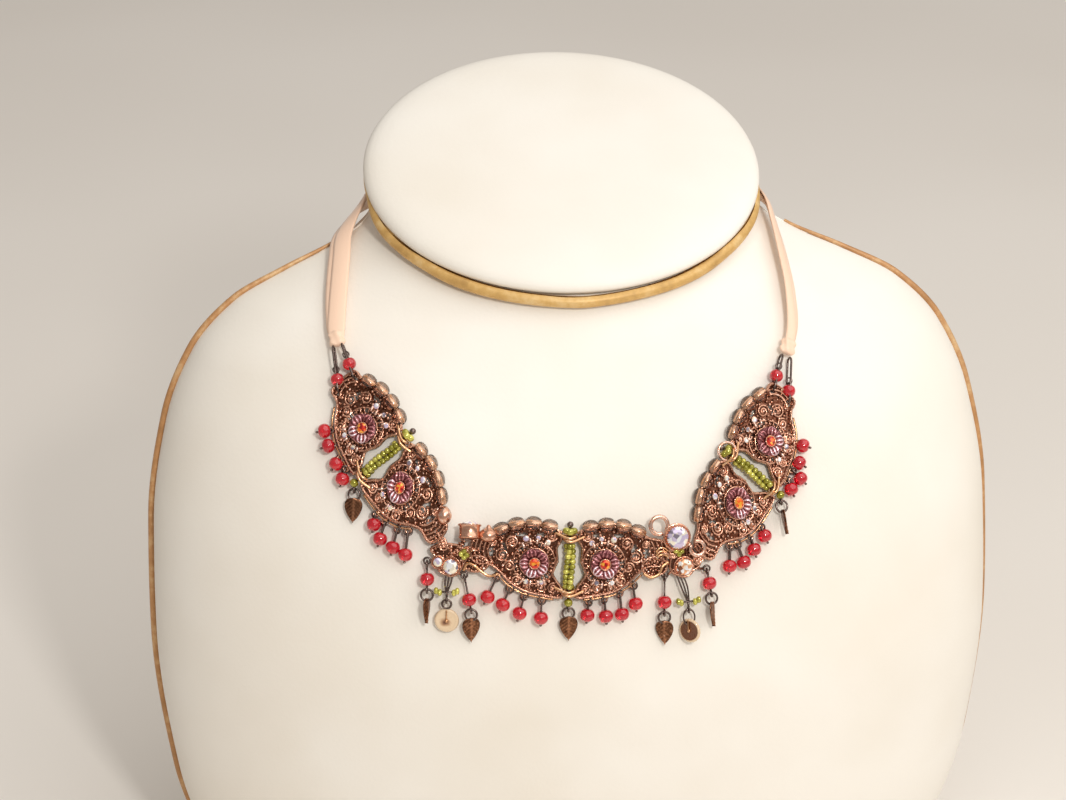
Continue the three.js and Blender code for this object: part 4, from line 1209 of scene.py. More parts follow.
def make_link(number, sizes):
    rng = random.Random(LINK_SEED + number)
    place, side = LINK_SEATS[number], side_of(number)
    wire, name = mm(sizes.wire), f"link_{number + 1}"
    work = Piece(f"{name}_filigree", "copper", "gold_wire")
    gems = Piece(f"{name}_crystals", "crystal")
    corners = link_corners(number)
    outline = closed_line(corners, 4, 0.1)
    frame_link(work, number, corners, outline, mm(sizes.frame_wire))
    crown_flower(work, number, wire, rng)
    for p in outline[::2]:  # grains along the edge
        work.add(ball(rng.uniform(0.36, 0.5)), place @ moved(p + Vector((0, 0, 0.45))), rng.uniform(0.45, 1))
    scroll_link(work, number, wire, rng)
    for gem in GEMS:
        set_stone(work, gems, place @ move(side * gem.x, gem.y, 0.7), gem.radius)
    grain_link(work, number, corners, mm(sizes.granule), rng)
    for y in LUGS[side]:
        work.add(u_wire(number, y, 0.4), place, 0.85, 1)
    work.finish("antique_copper", name)
    gems.finish("clear_stone")
    make_clear_beads(number, name, sizes)


def frame_link(work, number, corners, outline, radius):
    """The pierced plate, a heavy wire round its edge and a finer one on top of that."""
    place = LINK_SEATS[number]
    work.add(slab(corners, 0.7, link_holes(number)), place @ move(0, 0, -0.35), 0.12)
    work.wire(outline, radius, place, 0.66, 6, closed=True)
    work.wire([p + Vector((0, 0, 0.75)) for p in outline], radius * 0.45, place, 0.62, 5, closed=True)


def crown_flower(work, number, wire, rng):
    """Rings and rays round the flower, and polished rods above and below it, given the highest tone so that
    they carry the painted highlight of the copper.
    """
    place, side = LINK_SEATS[number], side_of(number)
    centre = Vector((side * FLOWER[0], FLOWER[1], 0))
    for radius, z, tone in ((3.75, 0.45, 0.75), (5.5, 0.35, 0.8)):
        work.wire(arc(centre, radius, 0, 350, 35, z), wire, place, tone, 5, closed=True)
    for i in range(RAYS):
        out = polar(1, TAU * i / RAYS)
        start = centre + Vector((0, 0, 0.3)) + out * 3.9
        ray = [start, start + out * 0.9 + Vector((0, 0, 0.25)), start + out * 1.7]
        work.wire(ray, wire * 0.8, place, rng.uniform(0.5, 0.95), 5)
    for bearing in HIGHLIGHT_RODS:
        out = polar(1, radians(bearing + rng.uniform(-4, 4)))
        out.x *= side
        start = centre + Vector((0, 0, 0.85)) + out * rng.uniform(4.3, 4.8)
        # tone 1.1 paints the rods with the whitened copper: painted highlight
        work.wire([start, start + out * 0.8, start + out * rng.uniform(1.5, 2)], 0.36, place, 1.1, 8)


def scroll_link(work, number, wire, rng):
    """Scrolls with a grain in each, and ribs that curve across the narrow end."""
    place, side = LINK_SEATS[number], side_of(number)
    at_ribbon = number in RIBBON_LINKS
    for s in SCROLLS:
        if at_ribbon and s.x > RIBBON_TIP[0][0] - 1:
            continue
        start = s.start if side > 0 else 180 - s.start
        curl = spiral((side * s.x, s.y), s.radius, s.turns * side, start, 0.35)
        work.wire(curl, wire * 1.15, place, rng.uniform(0.6, 0.9), 5)
        work.add(ball(0.42), place @ move(side * s.x, s.y, 0.55), 0.95)
    for radius in RIB_RADII[:2 if at_ribbon else None]:
        half = degrees(asin(min(3.2 / radius, 1)))
        rib = [Vector((side * p.x, p.y, p.z)) for p in arc((17.3, 4.2), radius, -half, half, 10, 0.4)]
        work.wire(rib, wire * 1.1, place, rng.uniform(0.55, 0.9), 5)


def grain_link(work, number, corners, granule, rng):
    """Granules strewn over the plate, clear of the flower and the stones."""
    place, side = LINK_SEATS[number], side_of(number)
    clear = [(side * FLOWER[0], FLOWER[1], 3.9), *((side * gem.x, gem.y, gem.radius) for gem in GEMS)]
    small = [ball(granule * share) for share in (0.6, 0.78, 1)]
    for x, y in scattered(corners, 190, 0.78, clear, rng):
        spot = move(x, y, rng.uniform(0.1, 0.65))
        work.add(rng.choice(small), place @ spot, rng.uniform(0.3, 1.05))


def make_clear_beads(number, name, sizes):
    """The row of glass beads on the upper edge, each drilled and lined with bright copper."""
    place, side = LINK_SEATS[number], side_of(number)
    row = Piece(f"{name}_beads", "clear", "gold_wire", "copper")
    shell = bead(mm(sizes.clear_bead), 2.15, 0.5)
    lining = lathe([(0, -1.7), (0.7, -1.7), (0.72, 0), (0.7, 1.7), (0, 1.7)], 16)
    for i, (x, y) in enumerate(BEAD_ROW):
        ahead, behind = BEAD_ROW[min(i + 1, len(BEAD_ROW) - 1)], BEAD_ROW[max(i - 1, 0)]
        turn = atan2(ahead[1] - behind[1], side * (ahead[0] - behind[0])) - pi / 2
        spot = place @ move(side * x, y - 0.3, 0.1) @ turned("Z", turn)
        row.add(shell, spot)
        row.add(lining, spot, 1.1, 1)
    line = [Vector((side * x, y, 0.25)) for x, y in BEAD_ROW]
    before, after = Vector((-side * 3.4, -1.8, 0)), Vector((side * 3.2, -2.2, 0))
    row.add(tube(smooth_line([line[0] + before, *line, line[-1] + after], 40), 0.34), place, 0.7, 2)
    row.finish("clear_stone")


def petal_blade(radius):
    """One petal along +Y: narrow at the heart, round at its end, arched, with five ribs and tones."""
    across, rows = 44, 13
    half, length = radius * 0.56, radius - 0.8
    top_count = across // 2

    def place(u, v):
        corner = round(u * across) % across
        top = corner < top_count
        s = corner / (top_count - 1) * 2 - 1 if top else 1 - (corner - top_count) / (top_count - 1) * 2
        t = round(v * rows) / rows
        if t < 0.62:
            w = half * (0.3 + 0.7 * sin(pi / 2 * t / 0.62))
        else:
            w = half * sqrt(max(0, 1 - ((t - 0.62) / 0.38) ** 2))
        rib = (0.5 + 0.5 * cos(4 * pi * s)) ** 1.6
        y = 0.7 + length * t + 0.16 * rib * t * (1 - s * s)
        arch = 0.25 + 1.15 * sin(0.72 * pi * t) - 0.5 * s * s * (0.3 + t) + 0.26 * rib * sin(pi * t) ** 0.5
        # the ribs are pale and the hollows dark wine; the darkening at the side edges, where the petals meet,
        # is painted shade
        shade = 0.05 + 0.75 * rib * min(2.5 * t, 1) - 0.3 * s ** 4 + 0.25 * (t > 0.9)
        return Vector((s * w, y, arch if top else arch - 0.5)), shade if top else 0

    return wrapped(across, rows, place)


def make_flower(number, petal):
    side = side_of(number)
    place = LINK_SEATS[number] @ move(side * FLOWER[0], FLOWER[1], PLATE / 2 + GAP)
    turn = random.Random(number).uniform(-20, 20)
    flower = Piece(f"flower_{number + 1}_petals", "lustre", "copper")
    flower.add(lathe([(0, 0), (1.9, 0), (1.7, 0.7), (1, 1.1), (0, 1.1)], 24), place @ UPRIGHT, 0.2)
    for i in range(5):
        a = radians(turn) + TAU * i / 5
        # the lower petals are painted paler and the upper ones darker by their bearing: painted light and
        # shade
        lit_tones = petal.strip[:, 2] * (0.85 - 0.2 * cos(a)) + 0.02 - 0.1 * cos(a)
        flower.add(petal, place @ turned("Z", a) @ move(0, 0, 0.12 * (i % 2)), lit_tones)
    flower.add(torus(1.38, 0.22), place @ move(0, 0, 1.3), 0.7, 1)
    for i in range(10):
        flower.add(ball(0.22), place @ moved(polar(1.38, TAU * i / 10, 1.5)), 0.8, 1)
    flower.finish("petal_copper", f"flower_{number + 1}")
    heart = Piece(f"flower_{number + 1}_crystal", "fire")
    heart.add(cut_stone(1.3), place @ move(0, 0, 1.5), 0.5)
    heart.finish("red_glass")


# ------------------------------------------------------------------ bars, fringes and charms


def make_bar(pair):
    rng = random.Random(pair.name)
    place = seat(pair.x, pair.z, pair.lean, LIFT)
    green = Piece(f"bar_{pair.name}_beads", "olive")
    count, strands = 9, 3
    pitch = (BAR["top"] - BAR["bottom"]) / count
    seed = bead(0.84, pitch * 0.52, 0.25, 12)
    for strand in range(strands):
        for i in range(count):
            share = (i + 0.5) / count
            a = TAU * strand / strands + 2.2 * share
            height = BAR["bottom"] + (BAR["top"] - BAR["bottom"]) * share
            spot = Vector((0.9 * sin(a), height, 0.9 * cos(a)))
            lean = turned("X", rng.uniform(-0.15, 0.15)) @ turned("Z", -0.22 * cos(a))
            green.add(seed, place @ moved(spot) @ lean, rng.uniform(-0.1, 0.5))
    for y in (BAR["upper_bead"], BAR["lower_bead"]):
        for x, z in ((-0.95, 0.2), (0.95, 0.1), (0, 0.8)) if y > 0 else ((0, 0),):
            radius = 1.05 if y > 0 else 1.2
            green.add(bead(radius, radius * 0.85, 0.2, 14), place @ move(x, y - 0.3 * (x == 0), z),
                      rng.uniform(0, 0.5))
    green.finish("olive_glass", f"bar_{pair.name}")
    pin = Piece(f"bar_{pair.name}_pin", "steel", "copper")
    if pair.name == "right":
        pin.add(torus(2.4, 0.4, 32), place @ move(0, BAR["upper_bead"] - 0.2, 0.6), 1, 1)
    head = BAR["upper_bead"] + 1.6
    pin.wire([(0, BAR["lower_bead"] - 1.4, 0), (0, head, 0)], BAR["pin"], place, 0.6)
    pin.add(ball(0.85, 3), place @ move(0, head, 0), 0.8)
    pin.add(torus(EYE, 0.26), bar_leaf_frame(pair) @ ON_EDGE, 0.6)
    pin.finish("dark_copper")


def bar_leaf_frame(pair):
    frame_here = seat(pair.x, pair.z, pair.lean, LIFT)
    plumb = charm_frame(frame_here @ Vector((0, BAR["lower_bead"], 0)), 2.4, pair.leaf_turn)
    plumb.translation = plumb @ Vector((0, -1.15 - EYE + 0.1, 0))
    return plumb


def rim_height(x):
    i = 0
    while i < len(RIM) - 2 and x > RIM[i + 1][0]:
        i += 1
    (x0, y0), (x1, y1) = RIM[i], RIM[i + 1]
    return y0 + (y1 - y0) * (x - x0) / (x1 - x0)


FRINGE_SEED = 90


def make_fringe(number, sizes):
    """Four red beads on pins, hung from a wire along the lower edge of a link."""
    rng = random.Random(FRINGE_SEED + number)
    red = mm(sizes.red_bead)
    wires = Piece(f"fringe_{number + 1}_rim", "gold_wire", "copper")
    pins = Piece(f"fringe_{number + 1}_pins", "steel")
    beads = Piece(f"fringe_{number + 1}_beads", "red")
    rim = smooth_line([on_link(number, x, y) for x, y in RIM], 40)
    wires.wire(rim, 0.27, None, 0.62, 8)
    tall = red * 0.86
    drop_bead = bead(red, tall, 0.35)
    for i, (seat_x, x, y) in enumerate(FRINGES[number]):
        place = over_skin(on_link(number, x, y), red + GAP)
        top = on_link(number, seat_x, rim_height(seat_x))
        down = (place - top).normalized()
        out = axis_of(LINK_SEATS[number], 2)
        out = (out - down * out.dot(down)).normalized()
        turn = basis(out.cross(down) * -1, down, out, place)
        reach = (place - top).length
        curl = turned("Y", rng.uniform(-0.9, 0.9)) @ turned("X", rng.uniform(-0.5, 0.5))
        pins.add(torus(1.05, 0.25, 18, 6), moved(top + down * 0.7 - place) @ turn @ curl, 0.6)
        wires.add(torus(0.72, 0.26), basis(down.cross(out), down, out, top + down * 0.45), 0.75, 1)
        swing = turned("Y", rng.uniform(0.2, 1.3))
        ring_end = top + down * max(reach - red * 0.75, 2.2)
        if reach > 3 or (i + number) % 2:
            pins.add(long_ring(top + down * 0.3, ring_end, out, 0.62, 0.25), tone=0.7)
        else:
            pins.add(torus(0.62, 0.25), turn @ move(0, 1.35 - reach, 0) @ swing, 0.7)
            pins.wire([top + down * 1.9, place], 0.26, None, 0.7)
        pins.wire([place - down * 0.3, place + down * (tall + 0.25)], 0.24, None, 0.6)
        pins.add(ball(0.36), moved(place + down * (tall + 0.3)), 0.75)
        beads.add(drop_bead, turn, rng.uniform(-0.1, 0.35))
    wires.finish("antique_copper")
    pins.finish("dark_copper")
    beads.finish("red_glass", f"fringe_{number + 1}")


def leaf_blade(half, length, thick):
    """A pointed leaf under the origin, with a raised midrib and side veins, with tones."""
    across, rows = 28, 26

    def place(u, v):
        t = round(v * rows) / rows
        wide = half * (sin(pi * min(t * 1.02 + 0.02, 1) ** 0.62) ** 0.72 if 0 < t < 1 else 0.04)
        k = round(u * across) % across
        front = k <= across // 2
        s = 1 - 4 * k / across if front else -1 + 4 * (k - across // 2) / across
        x = wide * s
        y = -length * t
        if front:
            rib = exp(-(x / 0.28) ** 2)
            vein = 0.5 + 0.5 * cos(TAU * (y + abs(x) * 0.9) / 0.95)
            height = thick * (0.12 + 0.3 * (1 - s * s)) + 0.16 * rib + 0.09 * vein * (1 - s * s)
            shade = 0.3 + 0.4 * rib + 0.28 * vein
        else:
            height, shade = -thick * 0.4 * (1 - s ** 4), 0.35
        return Vector((x, y, height)), shade

    return wrapped(across, rows, place)


def make_leaf(name, hang, turn, sizes):
    leaf = Piece(f"{name}_blade", "leaf", "steel")
    shape = leaf_blade(mm(sizes.leaf_half), mm(sizes.leaf_length), 0.9)
    spin = turned("Y", radians(turn))
    leaf.add(shape, hang @ spin @ move(0, -2 * LEAF_RING + 0.25, 0), None)
    leaf.add(torus(1.3 * LEAF_RING, 0.3, 20), hang @ move(0, -1.1 * LEAF_RING, 0), 0.6, 1)
    leaf.finish("dark_copper", name)


def disc_blade(radius, thick, notched):
    """A disc round the origin, domed a little, with a rim, with tones."""
    across, rows = 96, 16

    def place(u, v):
        a = TAU * u
        row = round(v * rows)
        front = row <= rows // 2
        share = min(row, rows - row) / (rows // 2)
        r = radius * share
        if notched and share > 0.8:
            r *= 1 - 0.035 * (0.5 + 0.5 * cos(22 * a))
        rim = smooth_step(0.78, 0.86, share) * (1 - smooth_step(0.95, 1, share))
        height = thick * (0.5 - 0.12 * (1 - share)) + 0.14 * rim
        if share == 1:
            height = 0
        if notched:
            shade = 0.95 - 1.1 * smooth_step(0.74, 0.8, share)
        else:
            shade = 0.75 * exp(-(((r * cos(a) + 0.4) / 1.3) ** 2 + ((r * sin(a) + 0.5) / 1.1) ** 2))
        return polar(r, a, height if front else -height), shade - 0.1

    return wrapped(across, rows, place)


def make_disc(spec, hang, sizes):
    radius = mm(sizes.disc)
    notched = spec.side == "right"
    disc = Piece(f"disc_{spec.side}_shell", "shell", "steel", "gold_wire")
    shape = disc_blade(radius, 0.8, notched)
    spin = hang @ turned("Y", radians(spec.disc_turn))
    middle = move(0, -2 * LEAF_RING - radius, 0)
    disc.add(shape, spin @ middle, None)
    ring, width = (1.7 * LEAF_RING, 0.75) if notched else (LEAF_RING, 1)
    disc.add(torus(ring, 0.3, 24), hang @ move(0, -ring, 0) @ Matrix.Scale(width, 4, (1, 0, 0)), 0.6, 1)
    disc.add(tube(smooth_line([(0, radius - 0.3, 0.6), (0, radius * 0.5, 0.75), (0, 0, 0.62)], 8), 0.2),
             spin @ middle, 0.7, 2)
    disc.add(ball(0.5), spin @ middle @ move(0, 0, 0.5), 0.8, 2)
    disc.finish("shell", f"disc_{spec.side}")


# ------------------------------------------------------------------ the connectors


def coil(start, end, radius, wire, turns):
    """A wire wound round the line between two points."""
    along = (end - start).normalized()
    side = along.orthogonal().normalized()
    other = along.cross(side)
    steps = turns * 10
    line = []
    for i in range(steps + 1):
        a = TAU * turns * i / steps
        line.append(start.lerp(end, i / steps) + side * (radius * cos(a)) + other * (radius * sin(a)))
    return tube(line, wire, 5)


# x, y and radius of the stones low on a connector
LOWER_STONES = {"left": [(0.3, -0.1, 2.0), (-3.1, 1.0, 1.2)], "right": [(1.5, -0.5, 2.2)]}
SWEEPS = {  # the free wires that run out from the connectors
    "left": [
        (3.6, -1, 0.6), (4.6, 0.9, 1), (6.3, 0.5, 1.2), (8, -0.9, 1), (10.2, -2.2, 0.9), (12.6, -1.6, 0.8)],
    "right": [(-9.5, -1.2, 0.8), (-7.6, -2.4, 1), (-5.4, -1.6, 1), (-4.4, 0.2, 1), (-2.6, 1.2, 0.8)],
}
LUMPS = {"left": (3.3, 2.1, 6.6, 0.9), "right": (3.4, 2.5, -6.3, 0.3)}  # half sizes and middle
CLUSTERS = {"left": (3.7, 3.3), "right": (0.1, 3.9)}  # of green seed beads
CLUSTER_SEEDS = ((-0.75, 0.1), (0.75, -0.1), (0, 0.85), (0.05, -0.8))


def make_connector(spec, sizes):
    rng = random.Random(spec.side)
    place = seat(spec.x, spec.z, 0, LIFT)
    wire = mm(sizes.wire)
    small = [ball(mm(sizes.granule) * share) for share in (0.6, 0.8, 1)]
    work = Piece(f"connector_{spec.side}_metal", "copper", "gold_wire", "steel")
    gems = Piece(f"connector_{spec.side}_stone", "crystal" if spec.side == "left" else "champagne")
    green = Piece(f"connector_{spec.side}_seeds", "olive")
    work.add(slab(spec.outline, 0.8), place @ move(0, 0, -0.3), 0.12)
    outline = closed_line(spec.outline, 4, 0.15)
    work.wire(outline, 0.4, place, 0.66, 6, closed=True)
    work.wire([p + Vector((0, 0, 0.55)) for p in outline], wire, place, 0.62, 5, closed=True)
    strew(work, place, scattered(spec.outline, 60, 0.8, [(0, 0, 2.2)], rng), small, (0.2, 0.8), (0.3, 1), rng)
    for x, y, radius in LOWER_STONES[spec.side]:
        spot = place @ move(x, y, 0.35)
        work.add(saw_bezel(radius + 0.25, 1.0, 14), spot, 0.8)
        work.add(torus(radius + 0.45, 0.3, 24), spot @ move(0, 0, 0.05), 0.7)
        gems.add(cut_stone(radius), spot @ move(0, 0, 0.7))
    tie_connector(work, place, spec, wire)
    make_spreader(spec, place, work, green, rng)
    dress_connector(work, place, spec.side, small, rng)
    x, y = CLUSTERS[spec.side]
    for dx, dy in CLUSTER_SEEDS:
        spot = place @ move(x + dx, y + dy, 1.7) @ turned("Z", rng.uniform(0, 3))
        green.add(bead(0.78, 0.6, 0.2, 12), spot, rng.uniform(0, 0.5))
    work.finish("antique_copper", f"connector_{spec.side}")
    gems.finish("clear_stone")
    green.finish("olive_glass")


def strew(work, place, spots, shapes, heights, tones, rng):
    for x, y in spots:
        work.add(rng.choice(shapes), place @ move(x, y, rng.uniform(*heights)), rng.uniform(*tones))


def tie_connector(work, place, spec, wire):
    """Bound wires to the links on both sides and to the cup, and the eyes of the red drops."""
    for link, end in spec.ties:
        near, far = on_link(link, *LINK_EYE), on_link(link, LINK_EYE[0] + 2 * TIE_RING, LINK_EYE[1])
        out = axis_of(LINK_SEATS[link], 2)
        tip = place @ Vector((*end, 0.2))
        work.add(long_ring(near, far, out, TIE_RING, 0.32), None, 0.75)
        work.wire([far, tip], 0.38, None, 0.5)
        work.add(coil(far, tip, 0.62, 0.22, 6), None, 0.8)
        for share in (0.15, 0.5, 0.85):
            spot = far.lerp(tip, share) + out * 0.5
            work.add(torus(1.0, wire, 14, 5), basis(*(axis_of(place, i) for i in range(3)), spot), 0.8)
            work.add(ball(0.5), moved(spot + out * 0.2), 0.9)
    root, stem = Vector((0, 2, 0.2)), Vector((*spec.cup, 0)) * 0.72
    work.wire([root, stem], 0.45, place, 0.5)
    work.add(coil(root, stem, 0.66, 0.24, 6), place, 0.8)
    for x, y in (spec.inner_eye, spec.outer_eye):
        work.add(torus(EYE, 0.27), place @ move(x, y, 0), 0.6, 2)
        work.wire([(0, 0, 0), (x - copysign(EYE, x), y, 0)], 0.34, place, 0.6)


def dress_connector(work, place, side, small, rng):
    """The free wires of a connector and the lump of filigree beside its stones."""
    if side == "left":
        x, y = BEAD_ROW[-1]
        work.add(bead(2.2, 2, 0.5), LINK_SEATS[1] @ move(side_of(1) * (x + 4.2), y - 2, 0.6), 0.95)
    else:
        for dy in (0, 0.9, 1.8):
            work.add(tube(arc((-4.2, 1.6 + dy), 1.7, 20, 160, 10, 1), 0.3), place, 0.9, 1)
        scroll_wires(work, place)
    work.add(tube(smooth_line(SWEEPS[side], 30), 0.4, 8), place, 0.8, 1)
    edge = oval(20, *LUMPS[side])
    work.add(slab(edge, 0.7), place @ move(0, 0, -0.3), 0.15)
    work.wire([Vector((x, y, 0.3)) for x, y in edge], 0.36, place, 0.7, 6, closed=True)
    strew(work, place, scattered(edge, 34, 0.72, [], rng), small, (0.3, 1), (0.4, 1.1), rng)


def scroll_wires(work, place):
    """The S of heavy wire with a curl on each side of the big stone."""
    left = arc((-4.6, 11), 2.3, -30, 290, 26, 1.2)
    right = arc((5.2, 4.2), 1.9, 150, 470, 26, 1.2)
    link = smooth_line([left[0], (-2.4, 8.2, 0.5), (0.2, 6.4, 0.4), right[0]], 20)
    for line in (left, right, link):
        work.add(tube(line, 0.58, 8), place, 1)


def make_spreader(spec, place, work, green, rng):
    """Dark pins under the stone: a cross wire with green beads, and the eye that holds the disc."""
    x, y = spec.spreader
    foot = (x, y - 1.2 - EYE)
    for dx in (-0.8, 0, 0.8):
        bend = [(dx, -1.8, 0), (x * 0.6 + dx, (y - 1.8) / 2, 0.3), (x + dx * 0.3, y + 0.2, 0)]
        work.add(tube(smooth_line(bend, 12), 0.24), place, 0.6, 2)
    work.add(tube([(x, y, 0), (x, foot[1] + EYE, 0)], 0.36), place, 0.6, 2)
    work.add(tube([(x - SPREAD - 1, y, 0), (x + SPREAD + 1, y, 0)], 0.25), place, 0.6, 2)
    work.add(torus(EYE, 0.27), place @ move(*foot, 0) @ ON_EDGE, 0.6, 2)
    across = turned("Z", pi / 2)
    for way in (-1, 1):
        for step, lift in ((0.45, 0.3), (-0.45, -0.2)):
            spot = place @ move(x + way * (SPREAD + step), y + lift, 0.1 + lift) @ across
            green.add(bead(0.95, 0.6, 0.25, 12), spot, rng.uniform(0.1, 0.6))


def make_crystal(spec):
    """The big stone in its cup; on the left it has rolled over, with a small pointed cap beside it."""
    place = seat(spec.x, spec.z, 0, LIFT)
    cup = Piece(f"crystal_{spec.side}_cup", "copper", "gold_wire")
    gem = Piece(f"crystal_{spec.side}_stone", "crystal")
    if spec.side == "left":
        rolled = turned("X", radians(-101))
        spot = place @ move(*spec.cup, 3.25 + GAP - LIFT) @ rolled
        wall = [
            (0, -2), (2.4, -2), (2.75, -1.85), (2.85, -1.6), (2.7, -1.35), (2.65, 0), (2.7, 1.1),
            (2.85, 1.3), (2.95, 1.5), (2.9, 1.75), (2.5, 1.8), (0, 1.5)]
        cup.add(lathe(wall, 40), spot @ UPRIGHT, 0.82)
        cup.add(torus(2.9, 0.22, 32), spot @ move(0, 0, 1.6), 0.95)
        gem.add(cut_stone(2.4, 10), spot @ move(0, 0, 1.6), 0.5)
        cap_spot = place @ move(9.9, 8.7, 0.9)
        cap = [(0, -2), (1.5, -1.9), (2.2, -1.4), (2.5, -0.7), (2.5, 0), (2.25, 0.6), (1.7, 1.1), (0.9, 1.5),
               (0.6, 1.9), (0.4, 2.3), (0, 2.45)]
        cup.add(lathe(cap, 32), cap_spot, 0.8)
    else:
        spot = place @ move(spec.cup[0] + 0.9, spec.cup[1] - 0.8, PLATE / 2 + GAP + 1)
        wall = [(0, -1), (3.1, -1), (3.3, -0.8), (3.25, 0.4), (2.8, 0.5), (0, 0.3)]
        cup.add(lathe(wall, 40), spot @ UPRIGHT, 0.6)
        cup.add(saw_bezel(3.25, 1.5, 26), spot @ move(0, 0, -0.2), 0.85)
        cup.add(torus(3.45, 0.28, 36), spot @ move(0, 0, -0.2), 0.9)
        gem.add(cut_stone(2.95, 12), spot @ move(0, 0, 0.85), 0.5)
    cup.finish("antique_copper", f"crystal_{spec.side}")
    gem.finish("clear_stone")


def make_hanging(spec, sizes):
    """The two red drops with their leaves, and the disc."""
    place = seat(spec.x, spec.z, 0, LIFT)
    red = mm(sizes.red_bead)
    rows = (("inner", spec.inner_eye, spec.inner_bead), ("outer", spec.outer_eye, spec.outer_bead))
    for (name, eye, low), leaf_turn in zip(rows, spec.leaf_turns):
        top, end = place @ Vector((*eye, 0)), place @ Vector((*low, 0))
        hang = hang_frame(top, end, red + GAP)
        length = (top - over_skin(end, red + GAP)).length
        foot = -length - red - EYE
        pin = Piece(f"red_drop_{spec.side}_{name}_pin", "steel")
        pin.add(torus(EYE, 0.25), hang @ move(0, -EYE, 0) @ ON_EDGE, 0.6)
        pin.wire([(0, -2 * EYE, 0), (0, foot + EYE, 0)], 0.26, hang, 0.6)
        pin.add(torus(EYE, 0.25), hang @ move(0, foot, 0) @ ON_EDGE, 0.6)
        pin.finish("dark_copper")
        drop = Piece(f"red_drop_{spec.side}_{name}_bead", "red")
        drop.add(bead(red, red * 0.86, 0.35), hang @ move(0, -length, 0), 0.15)
        drop.finish("red_glass", f"red_drop_{spec.side}_{name}")
        below = charm_frame(hang @ Vector((0, foot, 0)), 2.4, leaf_turn)
        make_leaf(f"leaf_{spec.side}_{name}", below, leaf_turn, sizes)
    x, y = spec.spreader
    below = charm_frame(place @ Vector((x, y - 1.2 - EYE, 0)), mm(sizes.disc), spec.disc_turn)
    make_disc(spec, below, sizes)


# ------------------------------------------------------------------ floor, lights and camera

VIEW_TURN, VIEW_RISE = radians(-6), radians(25)
VIEW_TARGET = Vector((-14, -10, 151))
FLASH_AT = Vector((0.2, 0, 0.14))  # from the camera, in metres like the next two
OVERHEAD_AT = Vector((0.6, -0.3, 1.2))  # from the choker
FLOOR_HALF = 3


def area_light(name, at, towards, size, power, colour):
    light = bpy.data.lights.new(name, "AREA")
    light.size = size
    light.energy = power
    light.color = colour
    lamp = bpy.data.objects.new(name, light)
    lamp.location = at
    lamp.rotation_euler = (at - towards).to_track_quat("Z", "Y").to_euler()
    bpy.context.scene.collection.objects.link(lamp)


def set_camera(stage, target):
    back = Vector((
        sin(VIEW_TURN) * cos(VIEW_RISE), -cos(VIEW_TURN) * cos(VIEW_RISE), sin(VIEW_RISE)))
    camera = bpy.data.objects.new("camera", bpy.data.cameras.new("camera"))
    camera.data.lens = mm(stage.lens)
    camera.data.sensor_width = 36
    camera.data.clip_start = 0.01
    camera.location = target + back * stage.distance
    camera.rotation_euler = back.to_track_quat("Z", "Y").to_euler()
    bpy.context.scene.collection.objects.link(camera)
    bpy.context.scene.camera = camera
    return camera.location


def lay_floor(colour):
    bm = bmesh.new()
    bmesh.ops.create_grid(bm, x_segments=8, y_segments=8, size=FLOOR_HALF)
    mesh = bpy.data.meshes.new("floor")
    bm.to_mesh(mesh)
    bm.free()
    floor = bpy.data.objects.new("floor", mesh)
    look = Look("matt_paint_pale", {"Roughness": 0.8})
    look.colour(look.noise(400), [(0.3, mixed(colour, "#d9d0c5", 0.4)), (0.7, colour)])
    mesh.materials.append(look.material)
    bpy.context.scene.collection.objects.link(floor)


def make_stage(stage):
    scene = bpy.context.scene
    target = VIEW_TARGET * MM + SHIFT
    eye = set_camera(stage, target)
    lay_floor(stage.floor)
    area_light("flash", eye + FLASH_AT, target, 0.08, stage.flash, (1, 0.985, 0.96))
    area_light("overhead", target + OVERHEAD_AT, target, 2, stage.overhead, (1, 0.99, 0.97))
    world = bpy.data.worlds.new("studio")
    world.use_nodes = True
    sky = world.node_tree.nodes["Background"].inputs
    sky["Color"].default_value = (0.95, 0.9, 0.85, 1)
    sky["Strength"].default_value = 0.4
    scene.world = world
    scene.view_settings.view_transform = "Standard"


# ------------------------------------------------------------------ the add-on


def ready():
    """The scene's settings, once the materials are made."""
    if not MATERIALS:
        make_materials()
    return settings()


class CHOKER_OT_stage(bpy.types.Operator):
    """Sets the floor, the lights and the camera"""

    bl_idname = "choker.stage"
    bl_label = "Stage"

    def execute(self, context):
        make_stage(ready().stage)
        return {"FINISHED"}


class CHOKER_OT_bust(bpy.types.Operator):
    """Covers the chest and the neck cap in leatherette"""

    bl_idname = "choker.bust"
    bl_label = "Bust"

    def execute(self, context):
        ready()
        make_bust()
        return {"FINISHED"}


class CHOKER_OT_piping(bpy.types.Operator):
    """Lays the gold piping round the neck and along the outline"""

    bl_idname = "choker.piping"
    bl_label = "Piping"

    def execute(self, context):
        make_piping(ready().bust)
        return {"FINISHED"}


class CHOKER_OT_ribbon(bpy.types.Operator):
    """Lays the doubled satin ribbon, its gathers and its knot"""

    bl_idname = "choker.ribbon"
    bl_label = "Ribbon"

    def execute(self, context):
        make_ribbon(ready().sizes)
        return {"FINISHED"}


class CHOKER_OT_end_loops(bpy.types.Operator):
    """Hangs the wire loops and their red beads between links and ribbon"""

    bl_idname = "choker.end_loops"
    bl_label = "End loops"

    def execute(self, context):
        make_end_loops(ready().sizes)
        return {"FINISHED"}


class CHOKER_OT_links(bpy.types.Operator):
    """Makes the six filigree links with their stones and glass beads"""

    bl_idname = "choker.links"
    bl_label = "Links"

    def execute(self, context):
        sizes = ready().sizes
        for number in range(len(LINK_SEATS)):
            make_link(number, sizes)
        return {"FINISHED"}


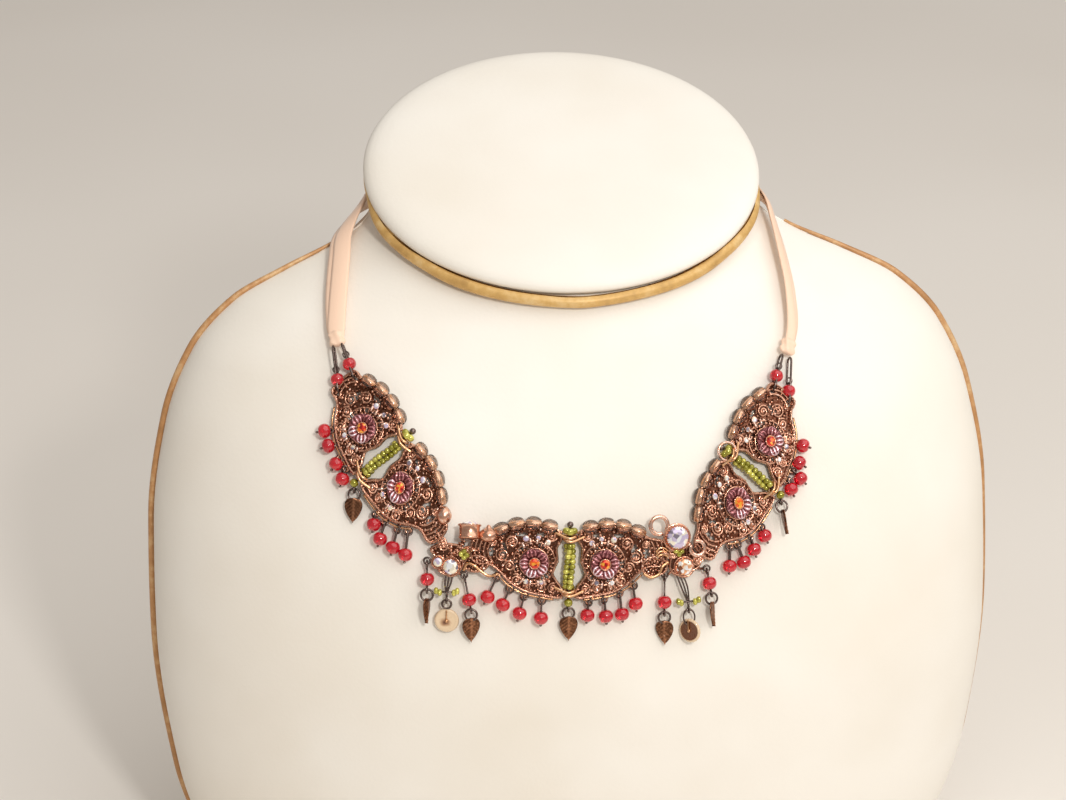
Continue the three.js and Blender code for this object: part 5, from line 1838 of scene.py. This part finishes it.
class CHOKER_OT_flowers(bpy.types.Operator):
    """Sets a lustred flower with an orange crystal on each link"""

    bl_idname = "choker.flowers"
    bl_label = "Flowers"

    def execute(self, context):
        petal = petal_blade(mm(ready().sizes.flower))
        for number in range(len(LINK_SEATS)):
            make_flower(number, petal)
        return {"FINISHED"}


class CHOKER_OT_bars(bpy.types.Operator):
    """Strings the three green bars and hangs a leaf under each"""

    bl_idname = "choker.bars"
    bl_label = "Green bars"

    def execute(self, context):
        sizes = ready().sizes
        for pair in PAIRS:
            make_bar(pair)
            make_leaf(f"leaf_bar_{pair.name}", bar_leaf_frame(pair), pair.leaf_turn, sizes)
        return {"FINISHED"}


class CHOKER_OT_fringes(bpy.types.Operator):
    """Hangs four red beads from each link's rim wire"""

    bl_idname = "choker.fringes"
    bl_label = "Fringes"

    def execute(self, context):
        sizes = ready().sizes
        for number in range(len(LINK_SEATS)):
            make_fringe(number, sizes)
        return {"FINISHED"}


class CHOKER_OT_connectors(bpy.types.Operator):
    """Makes the two connectors, their big stones, drops, leaves and discs"""

    bl_idname = "choker.connectors"
    bl_label = "Connectors"

    def execute(self, context):
        sizes = ready().sizes
        for spec in CONNECTORS:
            make_connector(spec, sizes)
            make_crystal(spec)
            make_hanging(spec, sizes)
        return {"FINISHED"}


OPERATORS = (
    CHOKER_OT_stage, CHOKER_OT_bust, CHOKER_OT_piping, CHOKER_OT_ribbon, CHOKER_OT_end_loops, CHOKER_OT_links,
    CHOKER_OT_flowers, CHOKER_OT_bars, CHOKER_OT_fringes, CHOKER_OT_connectors,
)


class CHOKER_PT_pieces(bpy.types.Panel):
    """Lists the choker's settings and pieces in the sidebar"""

    bl_label = "Choker"
    bl_idname = "CHOKER_PT_pieces"
    bl_space_type = "VIEW_3D"
    bl_region_type = "UI"
    bl_category = "Choker"

    def draw(self, context):
        for group in settings():
            box = self.layout.box()
            for key in group.bl_rna.properties.keys():
                if key not in ("rna_type", "name"):
                    box.prop(group, key)
        for operator in OPERATORS:
            self.layout.operator(operator.bl_idname)


CLASSES = (BustSettings, ChokerSettings, StageSettings, *OPERATORS, CHOKER_PT_pieces)


def register():
    for cls in CLASSES:
        bpy.utils.register_class(cls)
    bpy.types.Scene.choker_bust = PointerProperty(type=BustSettings)
    bpy.types.Scene.choker_sizes = PointerProperty(type=ChokerSettings)
    bpy.types.Scene.choker_stage = PointerProperty(type=StageSettings)


def unregister():
    del bpy.types.Scene.choker_stage
    del bpy.types.Scene.choker_sizes
    del bpy.types.Scene.choker_bust
    for cls in reversed(CLASSES):
        bpy.utils.unregister_class(cls)


def main():
    register()
    bpy.ops.choker.stage()
    bpy.ops.choker.bust()
    bpy.ops.choker.piping()
    bpy.ops.choker.ribbon()
    bpy.ops.choker.end_loops()
    bpy.ops.choker.links()
    bpy.ops.choker.flowers()
    bpy.ops.choker.bars()
    bpy.ops.choker.fringes()
    bpy.ops.choker.connectors()


if __name__ == "__main__":
    main()
